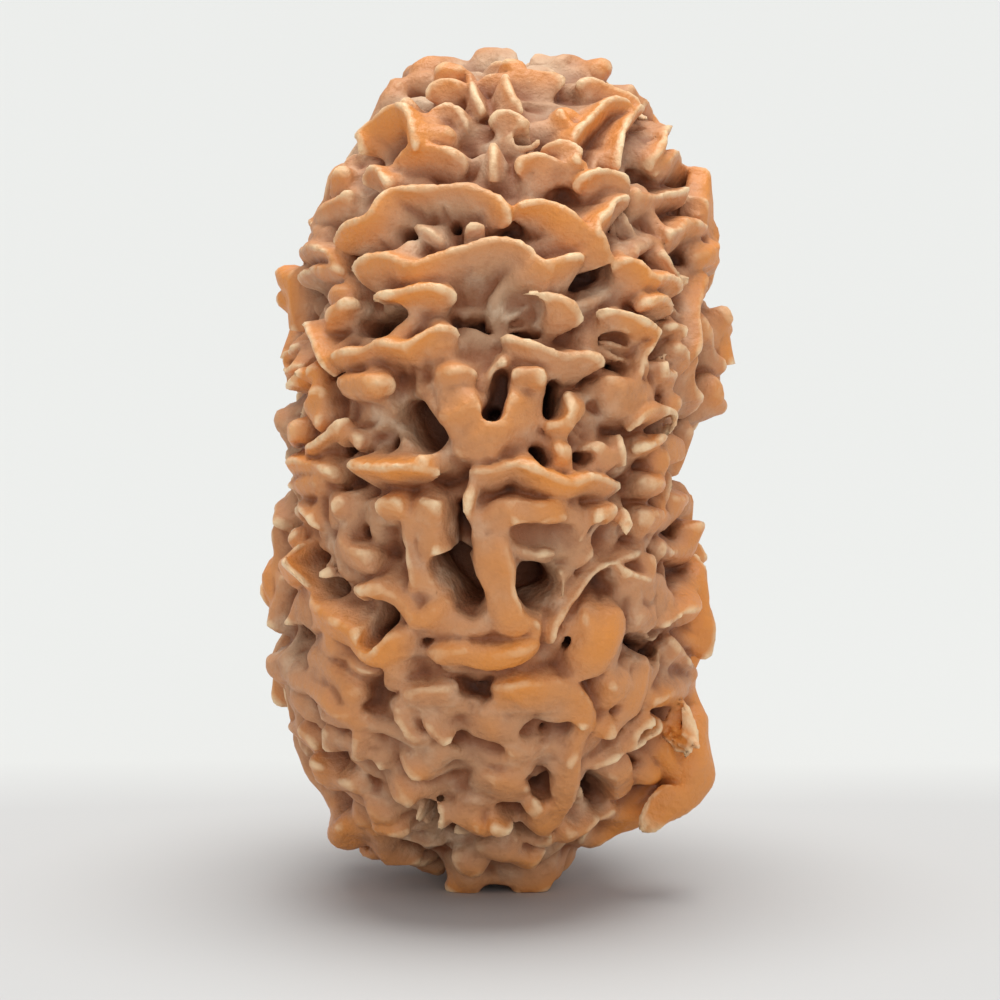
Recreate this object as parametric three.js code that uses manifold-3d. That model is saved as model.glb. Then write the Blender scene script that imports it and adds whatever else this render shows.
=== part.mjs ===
// Rudraksha seed, one dried stone standing on its rim.
// Millimetres, +Z up, origin on the ground under the middle of the seed.
// X runs from pole to pole, and the seed's grooves run from one pole to the other.
import * as THREE from 'three';
import { ConvexHull } from 'three/addons/math/ConvexHull.js';
import Module from 'manifold-3d';

const wasm = await Module();
wasm.setup();

// Driving dimensions of the body between the ridges
const halfHeight = 15.05;
const halfDepth = 12.5;
const halfThickness = 7.35;
const middleHeight = 16.75;
const squareness = 0.8;
const lean = 0.5;
const waistDepth = { left: 0.35, right: 1.15 };
const waistTurn = 26;
const navelDepth = 1.9;
const navelRadius = 2.1;
const floorLevel = 0.15;
const footLevel = 0;
const footSink = 0.25;

// Spacing of the surface's points
const crestStep = 0.75;
const hiddenStep = 1.15;
const slitStep = 0.7;
const crestGap = 0.36;
const footGap = 0.36;
const pitGap = 0.3;
const slitGap = 0.33;
const grooveGap = 0.45;
const floorSpacing = 0.85;
const floorTries = 6000;

// Section of a ridge, as shares of its breadth and in millimetres. A broad one has two crest lines.
const broadRidge = 0.7;
const crestShare = 0.32;
const flankShare = 0.18;
const flankWidth = 0.22;
const footOut = 0.24;
const endShare = 0.9;
const extraRise = 1.2;
const ridgeReach = 3;
const ledgeEdge = 0.4;
const knobHalf = 0.3;
const knobBreadth = 0.7;
const footBreadth = 1.1;
const seedColour = 0xb5713a;

// How the front is measured: along sight lines from this eye, on an upright view plane
const viewTilt = 6;
const eyeDistance = 200;
const sightBefore = 20;
const sightBeyond = 16;
const viewMiddle = { x: 0.32, v: 15.32 };

const degrees = Math.PI / 180;
const goldenTurn = Math.PI * (3 - Math.sqrt(5));

function power(value, exponent) {
  return Math.sign(value) * Math.abs(value) ** exponent;
}

// Half the thickness, pinched to a waist at the front and the back
function thicknessAt(turn, side) {
  const away = Math.acos(Math.min(1, Math.abs(Math.cos(turn)))) / degrees / waistTurn;
  const waist = side < 0 ? waistDepth.left : waistDepth.right;
  return halfThickness - waist * Math.exp(-away * away);
}

// A point of the body, raised by rise. Latitude is 0 at the rim and 90 degrees at the poles.
function skin(latitude, turn, rise) {
  const side = Math.sign(latitude);
  const reach = Math.max(Math.cos(latitude), 0) ** squareness;
  const hollow = navelDepth * Math.exp(-((reach * halfHeight / navelRadius) ** 2));
  const out = (thicknessAt(turn, side) + rise) * Math.abs(Math.sin(latitude)) ** squareness;
  return new THREE.Vector3(
    lean * Math.sin(turn) + side * (out - hollow),
    -(halfDepth + rise) * reach * Math.cos(turn),
    middleHeight + (halfHeight + rise) * reach * Math.sin(turn),
  );
}

// Shares of the body's half sizes at a point, once it is raised by rise
function shares(point, rise) {
  const y = point.y / (halfDepth + rise);
  const z = (point.z - middleHeight) / (halfHeight + rise);
  const turn = Math.atan2(z, -y);
  const shifted = point.x - lean * Math.sin(turn);
  return { x: shifted / (thicknessAt(turn, Math.sign(shifted)) + rise), reach: Math.hypot(y, z), turn };
}

// Below 1 inside the body raised by rise, 1 on it and above 1 outside
function swell(point, rise) {
  const { x, reach } = shares(point, rise);
  return Math.abs(x) ** (2 / squareness) + reach ** (2 / squareness);
}

// How far the body must be raised to reach a point
function riseOf(point) {
  let low = -3;
  let high = 5;
  for (let i = 0; i < 20; i += 1) {
    const half = (low + high) / 2;
    if (swell(point, half) > 1) {
      low = half;
    } else {
      high = half;
    }
  }
  return low;
}

const tilt = viewTilt * degrees;
const viewUp = new THREE.Vector3(0, Math.sin(tilt), Math.cos(tilt));
const viewIn = new THREE.Vector3(0, Math.cos(tilt), -Math.sin(tilt));
const viewCentre = new THREE.Vector3(viewMiddle.x, 0, 0)
  .addScaledVector(viewUp, viewMiddle.v)
  .addScaledVector(viewIn, -middleHeight * Math.sin(tilt));
const eye = viewCentre.clone().addScaledVector(viewIn, -eyeDistance);

// The point that lies rise above the body on the sight line through x, v of the view plane.
// A sight line that passes the body gives its nearest point.
function seen(x, v, rise) {
  const aim = viewCentre.clone();
  aim.x += x - viewMiddle.x;
  aim.addScaledVector(viewUp, v - viewMiddle.v);
  const along = aim.sub(eye).normalize();
  const at = (distance) => eye.clone().addScaledVector(along, distance);
  let near = eyeDistance - sightBefore;
  let far = eyeDistance + sightBeyond;
  for (let i = 0; i < 40; i += 1) {
    const third = (far - near) / 3;
    if (swell(at(near + third), rise) < swell(at(far - third), rise)) {
      far -= third;
    } else {
      near += third;
    }
  }
  let inside = (near + far) / 2;
  if (swell(at(inside), rise) >= 1) {
    return at(inside);
  }
  let outside = eyeDistance - sightBefore;
  for (let i = 0; i < 30; i += 1) {
    const half = (inside + outside) / 2;
    if (swell(at(half), rise) < 1) {
      inside = half;
    } else {
      outside = half;
    }
  }
  return at(inside);
}

// Ridges of the upper half, seen from the front: breadth, height, then x and v of points
// along the upper edge of the crest
const ledges = [
  // Top left
  [0.9, 2.0, -2.9, 32.5, -2.2, 32.8, -1.2, 32.6],
  [0.8, 2.0, -4.1, 31.9, -3.6, 32.15],
  [0.8, 2.4, -6.0, 30.0, -5.7, 30.6, -4.7, 31.3, -3.9, 31.3, -3.4, 30.0],
  [1.0, 1.8, -2.9, 30.6, -2.6, 31.2, -1.8, 31.6, -1.2, 31.0],
  [1.1, 1.9, -4.4, 29.3, -3.8, 29.8, -2.0, 29.8, -1.3, 29.4],
  [0.9, 1.9, -6.9, 28.2, -6.2, 29.0],
  [0.7, 1.9, -5.6, 28.8, -5.1, 29.0, -4.5, 28.2],
  [0.8, 1.9, -7.5, 26.9, -6.9, 27.6, -6.0, 28.3],
  [0.5, 1.6, -7.6, 26.9, -7.1, 26.3],
  [0.8, 2.1, -6.7, 26.2, -5.0, 26.9, -4.3, 27.9, -3.0, 28.15, -1.2, 28.3, 0.2, 27.9, 0.85, 27.0],
  [0.7, 1.5, -0.9, 26.5, -0.3, 26.5],
  [0.7, 1.5, -3.4, 26.6, -2.8, 26.3, -2.1, 25.9],
  [0.9, 2.0, -6.0, 24.9, -4.6, 25.3, -3.3, 24.95, -1.0, 25.7, 0.6, 26.1, 1.6, 25.8, 2.3, 25.15, 4.1, 25.6],
  [0.7, 1.7, -8.0, 25.6, -7.3, 25.7, -6.5, 25.1],
  [0.6, 1.6, -7.8, 24.7, -6.3, 24.8],
  // Top right
  [0.9, 1.9, -0.8, 33.0, 0.6, 33.15, 1.8, 33.15, 2.9, 33.0],
  [0.5, 1.9, 0.3, 32.9, 0.8, 32.2, 1.3, 31.4],
  [0.5, 1.8, -1.1, 33.0, -0.8, 32.0, -0.3, 31.4],
  [1.2, 1.8, 2.4, 31.9, 3.1, 31.5, 3.6, 30.9],
  [0.7, 1.9, 3.4, 32.7, 4.3, 32.5, 5.2, 32.0, 6.0, 31.3],
  [0.7, 1.9, 3.3, 30.1, 4.3, 31.2, 5.0, 31.6, 5.8, 31.3],
  [0.5, 1.9, 6.0, 31.2, 5.4, 30.2, 5.4, 28.9],
  [0.7, 2.0, 6.4, 31.4, 7.1, 30.8, 7.0, 29.8, 6.9, 29.0],
  [0.8, 1.8, 7.0, 28.9, 7.8, 29.1, 8.4, 28.9],
  [0.8, 1.8, 0.0, 31.1, 0.6, 31.3, 1.1, 31.0, 1.9, 30.2],
  [0.6, 1.6, 0.3, 30.0, 0.2, 28.4],
  [1.0, 1.9, 1.3, 29.2, 2.1, 29.6, 3.1, 29.1],
  [0.8, 1.9, 2.0, 30.0, 3.0, 30.0, 3.9, 28.8],
  [0.8, 1.9, 3.6, 28.5, 5.1, 28.8, 6.0, 28.2],
  [0.8, 2.0, 0.9, 27.4, 1.8, 27.7, 2.5, 27.6, 3.5, 27.0, 4.3, 26.2],
  [0.6, 1.9, 6.0, 27.9, 4.9, 27.0, 4.5, 26.1, 5.1, 25.3],
  [0.7, 1.8, 6.0, 28.1, 7.0, 27.8, 8.1, 27.9],
  [0.8, 1.9, 7.6, 26.3, 8.4, 26.5, 9.2, 26.0],
  [0.8, 2.1, 8.7, 27.1, 9.4, 26.0, 9.2, 25.2],
  [0.8, 1.9, 5.2, 25.2, 6.0, 25.1, 6.6, 24.4, 7.3, 24.6, 8.2, 24.4],
  // Middle
  [0.9, 1.9, -5.2, 23.7, -4.0, 23.85, -2.4, 23.95, -1.4, 23.7],
  [0.8, 1.9, -6.9, 21.15, -5.7, 21.5, -4.6, 21.8, -3.4, 21.7, -2.1, 22.3, -1.2, 22.2],
  [1.0, 1.9, -2.6, 21.8, -1.2, 21.8],
  [0.8, 1.9, -6.0, 16.95, -4.6, 16.85, -3.4, 16.85, -2.1, 16.6],
  [0.9, 1.9, 0.7, 23.6, 2.0, 23.9, 3.0, 23.7, 3.9, 23.0],
  [0.9, 1.9, 0.3, 22.3, 1.2, 21.95, 2.3, 21.6, 3.1, 21.25, 4.1, 21.4, 4.7, 21.0],
  [0.5, 1.8, 4.4, 23.2, 5.5, 22.9, 6.3, 22.4, 6.85, 21.9, 6.3, 21.1],
  [0.9, 1.9, -1.0, 16.7, 0.2, 16.55, 1.2, 16.8, 2.2, 16.4, 3.3, 16.05, 4.3, 16.25, 5.6, 15.8],
];

// Ridges and lobes seen from the front: breadth, height, then x and v along the middle
const lobes = [
  // Left
  [1.1, 1.8, -7.0, 23.7, -6.2, 23.6],
  [0.8, 1.7, -7.1, 22.4, -6.4, 22.9, -5.6, 23.3],
  [0.5, 1.8, -7.9, 22.8, -7.5, 21.9, -7.0, 20.9, -6.7, 20.3],
  [0.5, 1.8, -8.3, 22.0, -8.75, 21.3, -8.6, 20.8, -8.2, 21.0],
  [0.5, 1.8, -8.6, 20.8, -8.4, 20.1, -8.0, 20.3, -8.0, 20.9],
  [0.9, 1.7, -7.9, 20.1, -7.3, 20.3],
  [0.9, 1.8, -7.8, 19.3, -7.1, 19.3],
  [0.9, 1.9, -6.6, 19.95, -5.6, 20.05, -4.2, 20.0],
  [0.9, 1.7, -7.6, 18.9, -7.2, 18.4],
  [0.6, 1.8, -7.8, 17.2, -6.9, 18.0, -6.1, 18.75],
  [0.9, 1.4, -6.2, 18.2, -5.6, 17.7],
  [1.3, 0.9, -5.2, 19.1, -4.2, 18.7],
  [0.8, 1.9, -3.0, 17.3, -2.9, 16.7],
  [0.9, 1.9, -8.6, 16.75, -7.8, 16.6, -6.7, 16.4],
  [0.8, 1.9, -8.7, 15.55, -8.0, 15.9, -7.3, 16.0],
  [0.9, 1.8, -6.9, 15.1, -6.2, 15.05],
  [0.9, 1.9, -4.7, 14.95, -3.9, 14.95],
  [1.2, 1.7, -3.4, 14.7, -2.2, 14.6, -1.6, 14.4],
  [0.8, 1.8, -8.6, 14.7, -8.1, 14.9],
  [0.5, 1.8, -8.4, 15.2, -7.7, 14.6, -7.4, 14.0],
  // Middle
  [0.9, 1.9, -2.2, 20.4, -1.4, 20.45, -0.6, 20.4],
  [1.8, 1.8, -1.5, 19.8, -1.4, 19.2, -0.9, 18.5, -0.3, 17.9, 0.5, 17.6],
  [0.9, 1.9, 0.9, 20.4, 2.0, 20.35],
  [1.6, 1.8, 1.4, 20.2, 1.35, 19.2, 1.1, 18.2, 0.9, 17.5],
  [1.0, 1.8, 3.6, 19.7, 3.65, 19.0, 3.3, 18.3, 2.4, 18.0],
  [1.3, 1.7, -0.8, 17.5, 0.6, 17.4],
  [0.8, 1.7, 3.0, 17.8, 3.0, 17.0, 3.2, 16.4],
  [1.1, 1.7, 4.5, 17.1, 5.0, 16.7],
  [0.6, 1.7, 5.4, 17.9, 5.3, 17.1, 5.5, 16.5],
  [0.6, 1.7, 5.7, 18.0, 6.3, 18.8, 7.2, 18.7, 7.4, 18.1, 6.6, 17.5, 5.9, 17.2],
  [1.6, 1.7, 4.9, 19.4, 6.0, 19.4, 7.0, 19.3],
  [1.1, 1.7, 6.8, 16.9, 7.3, 16.7],
  [0.8, 1.7, 6.2, 15.8, 7.1, 15.75],
  [1.0, 1.7, 4.9, 22.6, 5.7, 22.3, 6.2, 21.9],
  [0.5, 1.7, 5.9, 20.95, 6.3, 20.75, 5.9, 20.1],
  [0.6, 1.8, 6.2, 23.0, 6.8, 23.35, 7.6, 23.0],
  [0.6, 1.7, 7.2, 22.4, 7.9, 22.1, 7.6, 21.7],
  [0.5, 1.7, 7.3, 21.3, 7.1, 20.5, 7.5, 20.1, 7.45, 19.6],
  [0.7, 1.7, 7.4, 21.6, 7.9, 20.9, 8.05, 20.2],
  [1.0, 1.8, 9.0, 24.2, 8.9, 23.4, 8.7, 22.4, 8.5, 21.4, 8.2, 20.5],
  // Lower left
  [1.9, 1.9, 0.0, 14.25, 1.6, 14.25, 3.2, 14.2],
  [1.6, 1.9, -0.1, 13.6, 0.2, 12.3, 0.7, 11.0, 1.2, 9.8],
  [1.0, 1.9, -2.8, 8.75, -1.5, 8.9, 0.0, 8.75, 1.1, 8.95, 2.0, 9.2],
  [0.9, 1.8, -6.0, 11.3, -5.0, 11.5, -4.2, 11.0, -3.4, 10.2, -2.6, 10.5, -1.8, 10.9],
  [1.7, 1.7, -3.2, 11.2, -2.3, 11.5],
  [1.2, 1.7, -1.8, 11.2, -2.2, 11.9, -2.7, 12.5, -2.8, 13.3, -2.6, 14.1],
  [1.1, 1.6, -6.7, 14.4, -6.5, 13.3, -5.7, 12.9, -4.7, 12.8],
  [1.3, 2.0, -8.1, 11.3, -7.9, 10.8, -7.1, 10.3, -6.2, 9.7, -5.2, 9.1, -4.3, 9.2, -3.4, 9.3],
  [1.1, 2.3, -8.0, 12.2, -8.7, 12.3, -9.3, 12.3],
  [0.6, 1.6, -8.0, 11.6, -7.4, 12.05, -6.9, 12.3],
  [1.0, 1.7, -8.0, 9.0, -7.2, 8.6, -6.6, 8.1, -6.2, 7.5, -5.5, 7.25],
  [0.7, 1.8, -8.4, 8.3, -7.6, 7.9, -6.9, 7.4, -6.5, 6.85, -5.6, 6.7],
  [0.9, 1.5, -3.7, 9.2, -4.2, 8.2, -4.6, 7.4],
  [1.0, 1.8, -3.9, 7.2, -2.6, 7.3, -1.3, 7.3],
  [0.8, 1.7, -4.0, 6.8, -3.8, 6.1, -3.3, 5.6, -2.4, 5.3],
  [0.8, 1.7, -2.8, 6.5, -2.5, 5.9, -1.9, 5.3, -1.2, 4.8],
  [2.0, 1.6, -1.0, 6.1, -0.2, 5.7, 0.5, 5.0, 0.6, 4.0],
  [0.6, 1.7, -6.8, 6.0, -6.75, 5.2],
  [0.6, 1.7, -5.6, 6.1, -5.7, 5.2, -5.75, 4.5],
  [0.8, 1.7, -7.1, 6.8, -6.5, 6.4, -5.2, 6.3],
  [1.2, 1.9, -8.4, 7.9, -8.2, 7.1, -7.7, 6.9],
  [1.1, 1.9, -7.9, 5.9, -7.5, 5.4],
  [0.9, 1.9, -7.3, 4.6, -7.2, 4.0],
  [0.8, 1.8, -8.8, 10.8, -8.4, 9.7],
  // Lower right
  [0.8, 1.5, 3.0, 12.4, 2.9, 11.4, 2.7, 10.8],
  [0.6, 1.8, 2.4, 9.5, 2.6, 10.3, 3.6, 11.3, 5.0, 12.4, 6.0, 13.1, 7.0, 13.9],
  [1.4, 1.9, 4.7, 10.8, 4.7, 9.8, 4.4, 9.1, 3.7, 8.8],
  [0.7, 1.7, 5.5, 14.7, 5.6, 14.2, 5.3, 13.3],
  [0.9, 1.8, 4.6, 14.4, 5.2, 14.7],
  [1.0, 1.7, 6.2, 14.4, 7.2, 14.3, 8.0, 14.5],
  [0.6, 1.7, 6.75, 12.8, 6.75, 12.1],
  [0.8, 1.7, 7.1, 13.2, 7.9, 13.1, 8.6, 12.6],
  [0.5, 1.7, 5.4, 12.4, 6.1, 12.05, 6.9, 11.7],
  [1.6, 1.7, 5.7, 11.1, 6.7, 11.1, 7.6, 11.4],
  [1.1, 1.9, 6.4, 10.3, 6.9, 10.1],
  [0.5, 1.9, 7.2, 9.8, 7.6, 10.3, 8.3, 10.8, 8.7, 11.6, 8.9, 12.6],
  [0.5, 1.7, 8.1, 9.2, 8.4, 9.9, 8.6, 10.9],
  [1.5, 1.8, 5.4, 8.2, 5.4, 7.4, 5.6, 7.0],
  [0.6, 1.7, 6.8, 8.9, 6.4, 7.9, 6.1, 7.1],
  [0.6, 1.8, 7.8, 9.3, 8.1, 8.1, 7.5, 7.4, 6.6, 7.0],
  [0.8, 1.8, 9.0, 12.0, 9.1, 10.8, 9.0, 9.4, 8.9, 8.4],
  [1.8, 1.8, 0.5, 6.8, 1.3, 7.2, 2.5, 7.2, 3.5, 6.7, 3.8, 5.9, 3.4, 5.3],
  [1.0, 1.8, 3.9, 5.2, 3.4, 4.4, 3.2, 3.4, 2.9, 2.4, 2.6, 1.5],
  [0.9, 2.0, 7.3, 7.1, 8.3, 6.9, 8.7, 6.2, 8.6, 5.2, 8.2, 4.0, 7.6, 3.3, 7.0, 3.5, 6.6, 4.1],
  [1.7, 1.9, 7.9, 6.0, 7.8, 5.0, 7.4, 3.9],
  [1.2, 1.9, 5.9, 5.3, 6.7, 5.35],
  [0.7, 1.9, 6.5, 6.1, 7.1, 5.5],
  [0.8, 1.8, 4.9, 6.3, 4.9, 5.8, 4.5, 5.5],
  // Bottom
  [1.8, 1.7, -0.8, 3.4, 0.3, 3.3, 1.5, 3.2],
  [1.2, 1.8, -1.1, 2.5, -1.1, 1.9, -0.5, 1.5, 0.3, 1.4],
  [0.9, 1.8, 1.9, 2.9, 2.1, 2.2, 2.4, 1.4, 2.5, 0.8],
  [0.9, 2.0, -1.4, 0.3, -0.9, 0.0, -0.2, 0.2],
  [0.9, 1.9, -0.1, 0.6, 0.8, 0.5, 1.8, 0.4, 2.5, 0.6],
  [1.0, 1.9, 3.0, 1.3, 3.9, 1.4, 4.7, 1.9, 5.7, 2.2],
  [1.4, 1.8, 5.5, 4.1, 5.7, 3.2, 5.3, 2.5],
  [1.1, 2.0, 4.2, 0.9, 5.0, 1.2, 5.4, 1.8],
  [1.1, 1.9, -4.4, 3.5, -3.9, 2.8, -3.4, 2.5],
  [1.3, 1.9, -5.6, 2.7, -5.0, 2.2, -4.2, 1.8],
  [0.8, 2.0, -5.3, 1.7, -4.4, 1.5, -3.6, 1.2],
  [0.9, 1.8, -4.0, 4.6, -3.3, 3.9, -2.8, 3.5],
  [0.9, 1.7, -7.3, 3.9, -6.5, 3.7, -5.6, 3.6],
];

// Knobs on the outline and between ridges: x, v and height
const knobs = [
  [-1.8, 33.1, 2.2], [0.8, 33.3, 2.2], [4.9, 32.8, 2.0], [6.1, 31.7, 2.0], [8.6, 28.8, 2.0],
  [-8.5, 24.8, 1.9], [-8.7, 23.5, 1.9], [-8.2, 17.9, 1.8], [7.6, 19.0, 1.7], [7.7, 17.4, 1.8],
  [8.0, 15.2, 1.8], [8.6, 13.6, 1.8], [-8.6, 13.6, 1.8], [-8.7, 8.7, 1.8], [0.3, 1.95, 1.8],
  [-2.1, 30.3, 1.8], [-6.1, 5.45, 1.5], [9.1, 24.9, 1.9], [-7.3, 26.0, 1.6],
];

// Pits seen from the front: x, v, radius and depth below the floor between the ridges
const pits = [
  [-3.6, 25.8, 0.45, 1.0], [-1.7, 26.3, 0.4, 0.9], [-0.9, 29.4, 0.3, 0.6], [5.9, 29.9, 0.4, 1.2],
  [1.3, 29.7, 0.4, 0.9], [5.5, 26.5, 0.45, 1.2], [-4.3, 22.5, 0.7, 1.2], [-0.4, 22.8, 0.35, 0.9],
  [1.3, 22.8, 0.45, 1.0], [4.8, 21.6, 0.35, 0.9], [5.3, 20.8, 0.45, 0.9], [6.5, 21.0, 0.3, 0.8],
  [-4.3, 17.6, 0.4, 1.2], [-6.15, 17.3, 0.35, 1.1], [0.1, 18.9, 0.35, 1.2], [2.5, 18.8, 0.4, 1.0],
  [1.9, 17.1, 0.35, 1.3], [3.7, 16.9, 0.35, 0.7], [6.5, 18.2, 0.4, 1.1], [-7.7, 15.4, 0.35, 0.9],
  [4.1, 14.2, 0.3, 1.0], [6.5, 15.1, 0.3, 0.9], [-3.75, 13.4, 0.4, 1.2], [-1.9, 12.5, 0.4, 1.2],
  [-0.9, 11.3, 0.6, 1.3], [-4.7, 10.7, 0.45, 1.1], [1.7, 11.8, 0.7, 1.3], [-7.3, 13.0, 0.4, 0.8],
  [-6.3, 12.1, 0.3, 0.8], [-3.5, 6.4, 0.3, 0.7], [-6.2, 5.0, 0.35, 1.0], [1.8, 4.3, 0.5, 1.2],
  [7.9, 6.3, 0.3, 0.8], [1.0, 2.0, 0.5, 0.8], [-2.3, 2.2, 0.4, 0.8], [2.2, 5.9, 0.4, 0.4],
];

// Broad mounds that lift the floor at the front: x, v, half width, half height and rise
const mounds = [
  // Middle
  [0.1, 17.9, 1.9, 1.3, 1.2], [-1.5, 19.6, 1.1, 1.3, 1.2], [1.4, 19.3, 0.9, 1.6, 1.2],
  [3.2, 17.9, 0.9, 1.2, 1.1], [5.6, 19.3, 1.7, 0.9, 1.0], [4.7, 17.0, 0.9, 0.8, 1.0],
  [-4.7, 18.8, 1.1, 0.7, 0.7], [1.5, 14.2, 2.7, 1.2, 1.3], [0.2, 12.2, 0.9, 2.2, 1.2],
  [0.9, 10.4, 1.1, 1.5, 1.2], [2.9, 11.6, 0.6, 1.2, 0.8],
  // Lower left
  [-2.7, 13.6, 0.9, 1.9, 1.1], [-2.7, 11.3, 1.3, 1.0, 1.2], [-6.3, 14.3, 1.3, 1.2, 1.0],
  [-4.4, 14.9, 1.6, 0.6, 1.0], [-5.2, 12.6, 1.8, 0.7, 0.8], [-7.2, 10.9, 1.2, 0.9, 1.2],
  [-5.9, 9.7, 1.3, 0.7, 1.2], [-5.0, 9.1, 1.0, 0.7, 1.2], [-0.5, 9.1, 2.6, 0.7, 1.1],
  [-2.2, 7.2, 1.9, 0.6, 1.0], [-3.2, 5.6, 1.0, 0.9, 0.8], [-6.9, 7.7, 1.9, 1.2, 1.0],
  [-5.4, 5.4, 1.4, 1.2, 0.7], [-3.3, 4.2, 1.1, 1.1, 0.9],
  // Lower right
  [4.3, 9.8, 1.1, 1.6, 1.2], [1.0, 6.2, 1.9, 1.5, 1.1], [3.2, 6.4, 1.3, 1.5, 1.2],
  [-0.3, 4.3, 1.9, 1.6, 1.1], [5.6, 8.0, 1.2, 1.1, 1.2], [7.2, 8.6, 1.0, 1.3, 1.1],
  [6.6, 10.9, 1.3, 0.8, 1.1], [6.3, 14.2, 1.6, 1.0, 0.9], [4.4, 13.2, 1.6, 0.8, 0.8],
  [3.1, 3.4, 0.8, 1.8, 1.1], [5.6, 3.3, 0.9, 1.4, 1.1], [4.6, 1.8, 1.3, 0.6, 1.1],
  [6.4, 5.4, 1.2, 0.7, 1.2],
];

// Dark hollows at the front, wider than pits: radius, depth, then x and v along the middle
const hollows = [
  [0.5, 1.0, -1.9, 12.4, -1.3, 11.8, -0.8, 11.0],
  [0.55, 1.0, 1.5, 12.0, 2.1, 12.0, 1.9, 11.3],
  [0.42, 1.0, -4.7, 11.0, -4.4, 10.4, -4.6, 9.9],
  [0.5, 0.4, -2.7, 18.7, -2.0, 17.6],
  [0.35, 0.9, 2.5, 19.7, 2.4, 18.8],
  [0.3, 1.0, -0.6, 22.8, 0.0, 22.6],
  [0.3, 1.0, 0.9, 22.75, 1.7, 22.6],
  [0.5, 0.9, -5.2, 22.4, -3.7, 22.7],
  [0.3, 1.1, 1.4, 4.2, 2.1, 3.6],
  [0.4, 0.9, 0.6, 2.1, 1.7, 1.9],
  [0.45, 1.0, -2.5, 2.8, -2.1, 1.4],
  [0.5, 0.4, 4.2, 3.7, 4.4, 2.9],
  [0.4, 0.6, 6.1, 6.4, 5.6, 5.9],
  [0.45, 0.8, 6.3, 4.3, 6.9, 3.8],
  [0.35, 0.8, 5.7, 9.6, 6.7, 9.2],
  [0.45, 0.5, -7.3, 12.9, -6.6, 11.8],
  [0.3, 0.7, -8.0, 10.2, -7.4, 9.8],
  [0.35, 0.8, -7.9, 15.5, -7.5, 15.4],
];

// Grooves between the seed's faces, as turns round the X axis in degrees.
// 0 is the front, 90 the top and 180 the back.
const grooves = [-73, -52, -29.5, -4.2, 14.4, 27.1, 41.8, 56, 70, 88, 108, 130, 150, 171, 193, 214, 237, 261];
const grooveDepth = 0.9;
const hiddenGrooveDepth = 0.4;
const grooveEnd = 72;
const grooveStep = 3.5;

// The grooves that show at the front, as x and v of their points
const slits = [
  [-6.4, 20.6, -5.3, 20.65, -3.5, 20.7, -2.3, 20.9, -0.7, 20.95, 0.7, 20.95, 2.0, 20.75, 3.0, 20.45,
    4.2, 20.25],
  [-5.3, 15.5, -4.0, 15.55, -1.9, 15.35, -0.6, 15.45, 1.0, 15.6, 3.0, 15.5, 5.6, 15.25],
  [-7.6, 9.4, -6.6, 8.8, -5.8, 8.3, -5.0, 8.15],
  [-3.9, 8.05, -3.0, 8.0, -1.9, 8.05, -1.0, 8.0, 0.0, 8.1, 1.2, 8.2, 2.5, 8.5],
  [2.9, 8.2, 4.0, 8.15, 4.5, 7.6],
  [5.3, 9.1, 6.0, 9.3, 6.8, 9.2],
  [-5.6, 24.4, -4.0, 24.4, -2.5, 24.5, 0.0, 24.3, 1.5, 24.3, 3.0, 24.4],
  [-2.6, 2.6, -2.1, 1.8, -1.9, 1.0],
  [2.8, 0.8, 3.6, 0.6],
];

// Seeded draw of numbers from 0 to 1
function drawFrom(seed) {
  let state = seed;
  return () => {
    state = (state + 0x6d2b79f5) | 0;
    let mixed = Math.imul(state ^ (state >>> 15), 1 | state);
    mixed = (mixed + Math.imul(mixed ^ (mixed >>> 7), 61 | mixed)) ^ mixed;
    return ((mixed ^ (mixed >>> 14)) >>> 0) / 4294967296;
  };
}

// The surface's points. Each has a direction from the middle, which decides its neighbours,
// a place on the level where spacing is measured, and its rise above the body.
const levelRise = 1;
const nodes = [];
const cells = new Map();
const cellSize = 1.2;

function cellOf(place, shift = [0, 0, 0]) {
  return place.toArray().map((value, axis) => Math.floor(value / cellSize) + shift[axis]).join();
}

// Latitudes of the directions, spread so that neighbours on the shell are neighbours in direction
// whichever way they lie. Each step adds its length over the radius there, as on a sea chart.
const spreadSteps = 360;
const spread = [0];
for (let i = 0; i < spreadSteps; i += 1) {
  const [from, middle, to] = [0, 0.5, 1].map((part) => (i + part) / spreadSteps * Math.PI / 2);
  const length = skin(from + 1e-6, Math.PI / 4, levelRise).distanceTo(skin(to, Math.PI / 4, levelRise));
  const radius = (halfDepth + halfHeight) / 2 * Math.cos(middle) ** squareness;
  spread.push(spread[i] + length / radius);
}

function directionLatitude(latitude) {
  const at = Math.min(Math.abs(latitude) / (Math.PI / 2) * spreadSteps, spreadSteps - 1e-6);
  const i = Math.floor(at);
  const run = spread[i] + (spread[i + 1] - spread[i]) * (at - i);
  return Math.sign(latitude) * (2 * Math.atan(Math.exp(run)) - Math.PI / 2);
}

function nodeAt(latitude, turn, rise) {
  const lifted = directionLatitude(latitude);
  return {
    latitude,
    turn,
    rise,
    place: skin(latitude, turn, levelRise),
    way: new THREE.Vector3(
      Math.sin(lifted),
      -Math.cos(lifted) * Math.cos(turn),
      Math.cos(lifted) * Math.sin(turn),
    ),
  };
}

function nodeOn(point, rise) {
  const { x, reach, turn } = shares(point, rise);
  const latitude = Math.atan2(power(x, 1 / squareness), reach ** (1 / squareness));
  return nodeAt(latitude, turn, rise);
}

function nearby(place) {
  const found = [];
  for (let i = 0; i < 27; i += 1) {
    const shift = [i % 3 - 1, Math.floor(i / 3) % 3 - 1, Math.floor(i / 9) - 1];
    found.push(...(cells.get(cellOf(place, shift)) ?? []));
  }
  return found;
}

function isFree(node, gap) {
  return nearby(node.place).every((other) => other.place.distanceTo(node.place) >= gap);
}

function keep(node) {
  const cell = cellOf(node.place);
  cells.set(cell, [...(cells.get(cell) ?? []), node]);
  nodes.push(node);
}

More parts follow.
